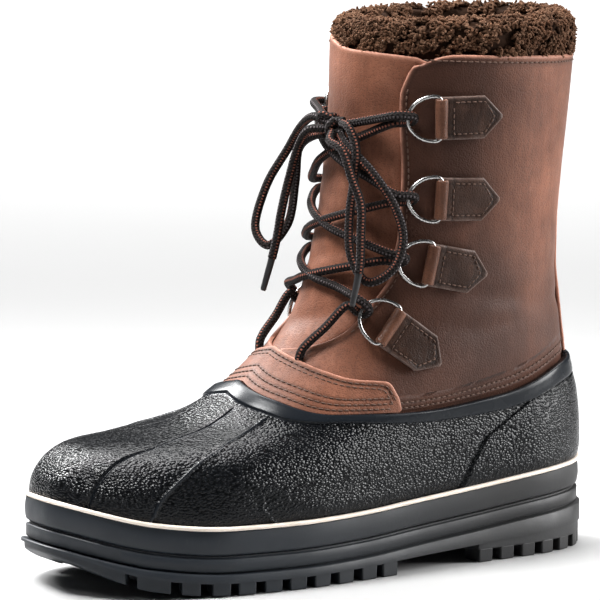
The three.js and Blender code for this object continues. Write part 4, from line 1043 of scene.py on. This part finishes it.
def build_tongue():
    end = math.radians(TONGUE_ANGLE)
    stops = edged(90, 130)
    phi = lerp(-end, end, stops)[None, :]
    low = leather_level(phi, 10)
    dip = 0.0135 * smooth(np.degrees(phi), -30, 8) + 0.005 * smooth(degrees_of(phi), 46, 56)
    high = 1 + TONGUE_RISE * np.cos(phi) - dip
    shares = np.concatenate([np.linspace(0, 0.985, 90), [0.99, 0.994, 0.997, 0.9985, 1.0]])[:, None]
    level = lerp(low, high, shares)
    p = last_point(phi, level)
    top = (1 - shares) * np.linalg.norm(p[-1] - p[len(p) // 2], axis=-1)[None, :] * 2
    side = np.minimum(stops, 1 - stops)[None, :] * 130
    distance = np.minimum(top, side)
    rise = p[..., 2] / COLLAR_HEIGHT
    angle = np.degrees(phi)
    shape = 0 * rise
    # Soft folds that the crossings pull across the tongue: height share, tilt and depth
    folds = (
        (0.50, 0.02, -1.0), (0.56, -0.03, 0.6), (0.62, 0.03, -0.9), (0.70, -0.02, -0.7), (0.78, 0.02, -0.6),
    )
    for at, tilt, deep in folds:
        nearness = np.exp(-((rise - at - tilt * angle / 40) / 0.016) ** 2)
        shape = shape + deep * nearness * np.exp(-((angle - 4) / 30) ** 2)
    shape = shape * smooth(distance, 1, 8)
    seat = -LEATHER_WALL - GAP
    leather_sheet(
        "tongue_leather", phi, level, seat - TONGUE_WALL, seat, distance, None, "tongue", shape=shape
    )


def build_back_stay():
    half = math.radians(BACK_STAY_ANGLE)
    stops = edged(24, 24)
    phi = (np.pi + lerp(-half, half, stops))[None, :]
    low = leather_level(phi, 0.9)
    high = level_at(phi, COLLAR_HEIGHT + PULL_TAB)
    shares = edged(110, 175)[:, None]
    level = lerp(low, high, shares)
    distance = np.minimum(np.minimum(stops, 1 - stops)[None, :] * 24, (1 - shares) * 175)
    side = np.minimum(stops, 1 - stops)[None, :] * 24 + 0 * shares
    seam = np.exp(-((side - 3) / 0.7) ** 2)
    low_out = 1.5 * GAP
    leather_sheet(
        "back_stay_leather", phi, level, low_out, low_out + OVERLAY, distance, {"seam": seam * 0.7},
        "back_stay", shape=-0.2 * seam,
    )
    for sign in (1, -1):
        turned = np.pi + sign * (half - half * 3 / 12)
        heights = np.linspace(0.43, 1.04, 200) * COLLAR_HEIGHT
        stitches_on(np.full(200, turned), level_at(turned, heights), np.full(200, low_out + OVERLAY + 0.05))


# Tabs and D-rings

def tab_frame(k, side):
    phi = side * math.radians(TABS["angle"][k])
    level = float(level_at(phi, COLLAR_HEIGHT * TABS["rise"][k]))
    slope = math.radians(TABS["slope"][k])
    w = last_normal(phi, level)
    back = unit(np.cross([0, 0, side], w))
    up = np.cross(w, back) * side
    u = back * math.cos(slope) - up * math.sin(slope)
    # The lace pulls the rings of the inner side flatter
    tilt = BOW_TILT if side > 0 else INNER_TILT
    v = unit(np.cross(w, u))
    origin = last_point(phi, level)
    return {"origin": origin, "u": u, "v": v, "w": w, "phi": phi, "level": level, "tilt": tilt}


def on_frame(f, a, b, c):
    a, b, c = (np.asarray(v, float)[..., None] for v in np.broadcast_arrays(a, b, c))
    return f["origin"] + f["u"] * a + f["v"] * b + f["w"] * c


def seated(f, a, b, out):
    """The last's surface seen along a tab's frame, then out by a distance."""
    aim = on_frame(f, a, b, 0)
    phi, level = np.full(aim.shape[:-1], f["phi"]), np.full(aim.shape[:-1], f["level"])
    for _ in range(12):
        p = last_point(phi, level)
        miss = aim - p
        miss = miss - f["w"] * (miss @ f["w"])[..., None]
        turn = (last_point(phi + 0.01, level) - p) / 0.01
        climb = (last_point(phi, level + 0.005) - p) / 0.005
        tt, tc, cc = (turn * turn).sum(-1), (turn * climb).sum(-1), (climb * climb).sum(-1)
        mt, mc = (turn * miss).sum(-1), (climb * miss).sum(-1)
        scale = tt * cc - tc * tc
        phi = phi + np.clip((cc * mt - tc * mc) / scale, -0.3, 0.3)
        level = level + np.clip((tt * mc - tc * mt) / scale, -0.08, 0.08)
    return surface(phi, level, out)


def tab_half_width(a):
    straight = TAB_LENGTH - TAB_POINT
    return TAB_WIDTH / 2 * np.where(a < straight, 1, 1 - 0.93 * (a - straight) / TAB_POINT)


def build_tab(k, side, label):
    f = tab_frame(k, side)
    half = TAB_WIDTH / 2
    along = edged(34, TAB_LENGTH)[:, None] * TAB_LENGTH
    across = edged(22, TAB_WIDTH)[None, :] * 2 - 1
    b = -across * tab_half_width(along)
    point = (TAB_LENGTH - along) * 0.7
    edge = np.minimum(tab_half_width(along) - np.abs(b), point)
    thick = TAB_THICKNESS * (0.72 + 0.28 * np.exp(-((along / 7) ** 2)))
    mid = TAB_SEAT + thick / 2
    seam = np.clip(np.exp(-((edge - 3.0) / 0.7) ** 2) + np.exp(-((along - 6.5) / 0.7) ** 2), 0, 1)
    wave = 0.35 * np.sin(along * 0.33 + 1.7 * k) * (b / half) * smooth(along, 4, 16)
    half_thick = thick / 2 * rounded(edge, 0.9)
    outer = seated(f, along, b, mid + half_thick - 0.25 * seam + wave)
    inner = seated(f, along, b, mid - half_thick)
    tones = {"edge": np.exp(-((edge / 0.9) ** 2)), "seam": seam * 0.6}
    tones = {key: np.tile(value.ravel(), 2) for key, value in tones.items()}
    flap = make_object(f"tab_{label}_{k + 1}_flap", *sheet_solid(outer, inner), TAB_LEATHER, tones=tones)

    # The roll round the ring's bar: a thick leather loop with open ends
    turns = np.radians(np.linspace(-150, 200, 30))
    spans = edged(14, TAB_WIDTH - TAB_ROLL)[None, :] * 2 - 1
    reach = half - TAB_ROLL / 2
    roll_outer, roll_inner = WIRE / 2 + TAB_ROLL, WIRE / 2 + 0.25
    ease = rounded((1 - np.abs(spans)) * reach, 0.9)
    wall = (roll_outer - roll_inner) / 2 * ease
    centre = (roll_outer + roll_inner) / 2
    squeeze = 1 + 0.03 * np.sin(3 * spans)
    a_out = -np.cos(turns)[:, None] * (centre + wall) * squeeze
    c_out = BAR_RISE + np.sin(turns)[:, None] * (centre + wall)
    a_in = -np.cos(turns)[:, None] * (centre - wall)
    c_in = BAR_RISE + np.sin(turns)[:, None] * (centre - wall)
    outer, inner = on_frame(f, a_out, spans * reach, c_out), on_frame(f, a_in, spans * reach, c_in)
    tones = {"edge": np.tile((1 - ease + 0 * a_out).ravel(), 2), "seam": np.zeros(2 * outer[..., 0].size)}
    # Its leather is lighter than the flap's: painted highlight.
    roll = make_object(f"tab_{label}_{k + 1}_roll", *sheet_solid(outer, inner), HIGHLIT_ROLL_LEATHER, tones=tones)
    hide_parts(f"tab_{label}_{k + 1}")

    # Stitched outline: across under the roll, along both sides and round the point
    inset, start = 3.0, 6.5
    straight = TAB_LENGTH - TAB_POINT
    corners = [
        (start, half - inset), (straight, half - inset), (TAB_LENGTH - inset * 1.6, 0),
        (straight, inset - half), (start, inset - half), (start, half - inset),
    ]
    line = np.concatenate([
        np.linspace(corners[i], corners[i + 1], 16, endpoint=False) for i in range(len(corners) - 1)
    ] + [np.array(corners[-1:])])
    thickness = TAB_THICKNESS * (0.72 + 0.28 * np.exp(-((line[:, 0] / 7) ** 2)))
    stitch_row(seated(f, line[:, 0], line[:, 1], TAB_SEAT + thickness), pitch=3.1, length=2.2, radius=0.4)


def ring_path(f, count=40):
    """A D-ring's centre line: a straight bar with round corners into the bow."""
    half = (RING_HEIGHT - WIRE) / 2
    corner = 3.2
    bar = [(0, b) for b in np.linspace(-half + corner, half - corner, 8)]
    turn = np.radians(np.linspace(0, 90, 6))[1:]
    upper = [(-corner * (1 - math.cos(t)), half - corner + corner * math.sin(t)) for t in turn]
    span = RING_REACH - WIRE - corner
    bow = [(-corner - span * math.sin(t), half * math.cos(t)) for t in np.linspace(0, np.pi, count)[1:-1]]
    lower = [(a, -b) for a, b in reversed(upper)]
    line = np.array(bar + upper + bow + lower)
    return on_frame(f, line[:, 0], line[:, 1], BAR_RISE + line[:, 0] * f["tilt"])


def build_ring(k, side, label):
    f = tab_frame(k, side)
    vertices, faces, _ = tube(ring_path(f), WIRE_SHOWN / 2, 12, closed=True)
    piece = make_object(f"ring_{label}_{k + 1}_wire", vertices, faces, STEEL)
    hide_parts(f"ring_{label}_{k + 1}")


# Lace

def lace_rest(phi):
    return LACE_REST - LEATHER_WALL * (1 - smooth(degrees_of(phi), 22, 40))


def front_point(x, height, more=0.0):
    low, high = math.radians(-80), math.radians(80)
    for _ in range(16):
        middle = (low + high) / 2
        if surface(middle, level_at(middle, height), lace_rest(middle) + more)[0] < x:
            low = middle
        else:
            high = middle
    return surface(low, level_at(low, height), lace_rest(low) + more)


KNOT_CENTRE = front_point(KNOT["aside"], COLLAR_HEIGHT * KNOT["rise"], KNOT["deep"] - LACE / 2)


def ring_turn(k, side):
    """The lace's turn round a ring's wire: over it, down inside, and back out beneath."""
    f = tab_frame(k, side)
    wire = -(RING_REACH - WIRE)
    rise = BAR_RISE + wire * f["tilt"]
    wrap = WIRE_SHOWN / 2 + LACE / 2 + 0.1
    apart = side * LACE * 0.5
    return [
        on_frame(f, wire - 7, apart, rise + wrap * 0.75),
        on_frame(f, wire - 1.0, apart, rise + wrap),
        on_frame(f, wire + 2.4, apart * 0.7, rise + wrap * 0.72),
        on_frame(f, wire + wrap, 0, rise),
        on_frame(f, wire + 2.2, -apart * 0.8, rise - wrap * 0.75),
        on_frame(f, wire - 1.5, -apart, rise - wrap * 0.95),
        on_frame(f, wire - 7, -apart, rise - wrap * 0.6),
    ]


def lace_half(side):
    knots = [KNOT_CENTRE]

    def pull_to(goal, stops):
        start = knots[-1]
        for k in range(1, stops):
            p = lerp(start, goal, k / stops)
            p[1] = min(p[1], front_point(p[0], p[2])[1])
            knots.append(p)

    count = len(TABS["angle"])
    for k in range(count):
        turn = ring_turn(k, -side if k % 2 else side)
        pull_to(turn[0], 5 if k else 3)
        knots.extend(turn)
    slit = (side if count % 2 else -side) * math.radians(SLIT_ANGLE)
    hole = surface(slit, level_at(slit, COLLAR_HEIGHT * SLIT_RISE), LACE_REST)
    pull_to(hole, 2)
    knots.append(hole)
    knots.append(surface(slit, level_at(slit, COLLAR_HEIGHT * SLIT_RISE) - 0.012, 0.0))
    return curve_through(knots, 1.1)


def lace_piece(name, path, node):
    vertices, faces, uv = tube(path, LACE / 2, 14)
    piece = make_object(name, vertices, faces, BRAID, uv=uv)
    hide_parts(node)
    return piece


def loose_path(rows):
    angle, rise, out = (np.array(values, float) for values in zip(*rows))
    phi = np.radians(angle)
    return curve_through(surface(phi, level_at(phi, COLLAR_HEIGHT * rise), out), 1.1)


def build_lace():
    halves = [tube(lace_half(side), LACE / 2, 14) for side in (1, -1)]
    vertices, faces = join(halves)
    uv = np.concatenate([half[2] for half in halves])
    piece = make_object("lace_crossings", vertices, faces, BRAID, uv=uv)
    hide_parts("lace")

    # Knot: two bights side by side, and a turn that binds them with its tail over the top
    centre = KNOT_CENTRE
    across = unit(np.array([1.0, 0.25, 0.0]))
    ahead = np.array([across[1], -across[0], 0.0])
    turn = np.radians(np.linspace(0, 345, 15))
    bind = [(-0.6 + 0.5 * t, 4.6 * math.cos(t + 0.4), 5.2 * math.sin(t + 0.4)) for t in turn]
    bind = [(-7.0, 1.5, -1.0), (-7.6, 1.0, 3.0), (-4.6, 2.6, 6.2), *bind[2:], (4.6, 2.0, 4.2)]
    upper = [(9.0, 0.0, 3.6), (5.0, 1.6, 3.4), (0.0, 1.6, 2.4), (-4.5, 1.4, 2.8), (-8.5, -0.4, 2.2)]
    lower = [(8.6, 0.2, -2.6), (4.6, 1.8, -2.2), (0.0, 1.8, -2.2), (-4.5, 1.2, -1.6), (-8.2, -0.6, -2.4)]
    tubes = []
    for knots in (bind, upper, lower):
        knots = np.array(knots)
        path = centre + across * knots[:, :1] + ahead * knots[:, 1:2] + np.array([0, 0, 1]) * knots[:, 2:]
        tubes.append(tube(curve_through(path, 0.7), LACE / 2, 14))
    vertices, faces = join(tubes)
    knot = make_object("lace_knot_wraps", vertices, faces, BRAID, uv=np.concatenate([t[2] for t in tubes]))
    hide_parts("lace_knot")

    for name, rows in LOOSE.items():
        path = loose_path(rows)
        is_end = "end" in name
        if is_end:
            steps = np.concatenate([[0], np.cumsum(np.linalg.norm(np.diff(path, axis=0), axis=1))])
            tip = path[steps > steps[-1] - AGLET_LENGTH]
            path = path[steps <= steps[-1] - AGLET_LENGTH + AGLET_OVERLAP]
            widths = 1.75 + 0.15 * np.cos(np.linspace(0, np.pi, len(tip)))
            widths[-1] *= 0.8
            vertices, faces, _ = tube(tip, widths, 14)
            aglet = make_object(f"{name}_aglet", vertices, faces, AGLET)
        piece = lace_piece(f"{name}_cord", path, name)


# Fleece cuff

CUFF_SECTION = table(
    "up deep",
    (-CUFF_DEPTH, 0), (-CUFF_DEPTH / 2, 0), (-2, 0), (0.3, -0.07), (0.72, -0.02), (0.94, 0.25), (1, 0.55),
    (0.82, 0.92), (0.35, 1.08), (-CUFF_DEPTH * 0.3, 1), (-CUFF_DEPTH, 0.6),
)


def cuff_point(phi, s, proud=0.0):
    """A point of the cuff: phi round the collar, s along its section's rows, proud of it by a distance."""
    rows = np.arange(len(CUFF_SECTION["up"]), dtype=float)
    rows_table = {"row": rows, **CUFF_SECTION}
    up = column(rows_table, "row", "up")(s)
    deep = column(rows_table, "row", "deep")(s)
    behind = 1 - smooth(degrees_of(phi), TONGUE_ANGLE + 5, TONGUE_ANGLE + 30)
    seat = LEATHER_WALL + 2 * GAP + behind * (TONGUE_WALL + 3 * GAP)
    rise = COLLAR_HEIGHT + CUFF_RISE - last_point(phi, 1.0)[..., 2]
    level = slide(phi, np.ones(np.broadcast(phi, s).shape), np.where(up > 0, up * rise, up))
    return surface(phi, level, -seat - deep * CUFF_THICKNESS + proud)


def cuff_frame(phi, s):
    p = cuff_point(phi, s)
    around = unit(cuff_point(phi + 0.02, s) - cuff_point(phi - 0.02, s))
    along = unit(cuff_point(phi, s + 0.05) - cuff_point(phi, s - 0.05))
    return p, around, along, unit(np.cross(around, along))


def build_cuff():
    count = 300
    phi = (2 * np.pi * np.arange(count) / count)[None, :]
    s = np.linspace(0, 9.99, 110)[:, None]
    p, _, _, normal = cuff_frame(phi, s)
    lumps = np.sin(9 * phi + 2.3 * s) * np.cos(7 * phi - 3.1 * s) + 0.6 * np.sin(23 * phi + 5 * s)
    shown = smooth(s, 2.2, 3.2)
    depth = (0.5 * lumps - 1.6) * shown
    outer = p + normal * depth[..., None]
    vertices, faces = looped(list(outer))
    # The backing is drawn in the curls' painted root shade.
    tones = {"root_shade": np.full(len(vertices), 0.15), "pale": np.zeros(len(vertices))}
    body = make_object("cuff_backing", vertices, faces, FLEECE, tones=tones)
    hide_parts("cuff")
    for name, start, stop, amount in (("fleece_outside", 2.4, 6.0, 3300), ("fleece_inside", 6.0, 9.2, 2700)):
        build_curls(name, start, stop, amount)


def build_curls(name, start, stop, amount):
    """Curls of pile over a stretch of the cuff's section: short tapered coils, gathered into locks."""
    rings, sides = 8, 4
    locks = amount // 7
    # The locks lie evenly over the pile, a little out of place each
    order = np.arange(locks)
    lock_phi = 2 * np.pi * ((order * 0.754877) % 1) + rng.normal(0, 0.012, locks)
    stops = np.linspace(start, stop, 80)
    section = cuff_point(np.full(80, np.pi / 2), stops)
    walked = np.concatenate([[0], np.cumsum(np.linalg.norm(np.diff(section, axis=0), axis=1))])
    lock_walk = walked[-1] * ((order * 0.569840) % 1) + rng.normal(0, 0.4, locks)
    of_lock = np.arange(amount) % locks
    phi = lock_phi[of_lock] + rng.normal(0, 0.023, amount)
    s = np.interp(lock_walk[of_lock] + rng.normal(0, 1.25, amount), walked, stops)
    p, around, along, normal = cuff_frame(phi, s)
    lean = unit(
        normal + 0.5 * around * rng.normal(0, 1, locks)[of_lock][:, None]
        + 0.5 * along * rng.normal(0, 1, locks)[of_lock][:, None]
        + 0.35 * rng.normal(0, 1, (amount, 3))
    )
    one = unit(np.cross(lean, around + 0.3 * along))
    two = np.cross(lean, one)
    height = rng.uniform(2.4, 4.2, amount)
    coil = rng.uniform(0.8, 1.5, amount)
    spin = rng.uniform(0, 2 * np.pi, amount)
    turns = rng.choice([-1, 1], amount) * rng.uniform(0.7, 1.3, amount)
    t = np.linspace(0, 1, rings)
    angle = spin[:, None] + 2 * np.pi * turns[:, None] * t
    swell = coil[:, None] * np.sin(np.pi * np.clip(t * 0.85 + 0.1, 0, 1))
    spine = (
        (p - normal * 1.2)[:, None]
        + lean[:, None] * (height[:, None] * t)[..., None]
        + one[:, None] * (swell * np.cos(angle))[..., None]
        + two[:, None] * (swell * np.sin(angle))[..., None]
    )
    tangents = unit(np.gradient(spine, axis=1))
    first = unit(np.cross(tangents, lean[:, None] + 0.01))
    second = np.cross(tangents, first)
    radii = rng.uniform(0.75, 1.15, amount)[:, None] * (1 - 0.45 * t)
    turn = 2 * np.pi * np.arange(sides) / sides
    aside = first[:, :, None] * np.cos(turn)[:, None] + second[:, :, None] * np.sin(turn)[:, None]
    vertices = (spine[:, :, None] + aside * radii[..., None, None]).reshape(-1, 3)
    each = grid_faces(sides, rings, True)
    tip = (rings - 1) * sides + np.arange(sides)[None, :]
    quads = (each[None] + (np.arange(amount) * rings * sides)[:, None, None]).reshape(-1, 4)
    tips = (tip[None] + (np.arange(amount) * rings * sides)[:, None, None]).reshape(-1, sides)
    # Painted shade: each curl darkens from its tip down to its root.
    shade = np.repeat(np.broadcast_to(0.25 + 0.75 * t, (amount, rings)).ravel(), sides)
    upward = np.repeat(np.broadcast_to(t, (amount, rings)).ravel(), sides)
    pale = np.repeat(rng.uniform(0, 1, amount) ** 2, rings * sides) * upward
    tones = {"root_shade": shade, "pale": pale}
    piece = make_object(name, vertices, [*quads.tolist(), *tips.tolist()], FLEECE, tones=tones)


build_sole()
build_midsole()
build_piping()
build_insole()
build_shell()
build_shaft()
build_vamp()
build_tongue()
build_back_stay()
for tab in range(len(TABS["angle"])):
    for sign, label in ((1, "outer"), (-1, "inner")):
        build_tab(tab, sign, label)
        build_ring(tab, sign, label)
build_lace()
build_cuff()
stitches = make_object("stitching", *join(STITCHES), THREAD)


# Floor, light and camera

def build_stage():
    bpy.ops.mesh.primitive_plane_add(size=8)
    floor = bpy.context.object
    floor.name = "floor"
    n = Nodes("floor")
    n.set(Base_Color=n.mix(n.noise(3, 2), (0.42, 0.42, 0.42), (0.44, 0.44, 0.44)), Roughness=0.9)
    n.set(Specular_IOR_Level=0.2)
    floor.data.materials.append(n.material)
    world = bpy.data.worlds.new("studio")
    world.use_nodes = True
    world.node_tree.nodes["Background"].inputs["Color"].default_value = (0.96, 0.98, 1, 1)
    world.node_tree.nodes["Background"].inputs["Strength"].default_value = 0.05
    bpy.context.scene.world = world
    bpy.context.scene.view_settings.view_transform = "Standard"


def area_light(name, azimuth, elevation, distance, size, power, spread, aim=(0, 0.02, 0.14)):
    a, e = math.radians(azimuth), math.radians(elevation)
    back = Vector((math.sin(a) * math.cos(e), -math.cos(a) * math.cos(e), math.sin(e)))
    data = bpy.data.lights.new(name, "AREA")
    data.shape = "RECTANGLE"
    data.size, data.size_y = size
    data.energy = power
    data.spread = math.radians(spread)
    light = bpy.data.objects.new(name, data)
    light.location = Vector(aim) + back * distance
    light.rotation_mode = "QUATERNION"
    light.rotation_quaternion = back.to_track_quat("Z", "Y")
    bpy.context.scene.collection.objects.link(light)


def build_camera():
    azimuth, elevation = math.radians(58.7), math.radians(7.99)
    distance, aside, aim_height = 2.8, -0.005857, 0.13856
    photo_focal, photo_width, sensor = 5389.4, 600, 36
    back = Vector((
        math.sin(azimuth) * math.cos(elevation), -math.cos(azimuth) * math.cos(elevation), math.sin(elevation)
    ))
    right = Vector((math.cos(azimuth), math.sin(azimuth), 0))
    data = bpy.data.cameras.new("camera")
    data.sensor_width = sensor
    data.lens = photo_focal / photo_width * sensor
    camera = bpy.data.objects.new("camera", data)
    camera.location = right * aside + Vector((0, 0, aim_height)) + back * distance
    camera.rotation_mode = "QUATERNION"
    camera.rotation_quaternion = back.to_track_quat("Z", "Y")
    bpy.context.scene.collection.objects.link(camera)
    bpy.context.scene.camera = camera


build_stage()
area_light("key_left", -76, 36, 1.7, (0.5, 0.8), 6, 60)
area_light("top_front", -8, 64, 1.7, (0.6, 0.6), 5.2, 50)
area_light("front_small", 38, 42, 1.8, (0.3, 0.3), 0.3, 60)
area_light("rim_right", 154, 20, 1.7, (0.6, 1.2), 9, 70)
area_light("back_floor", 238, 75, 4.5, (5.0, 5.0), 260, 75, (-2.6, 1.6, 0))
build_camera()
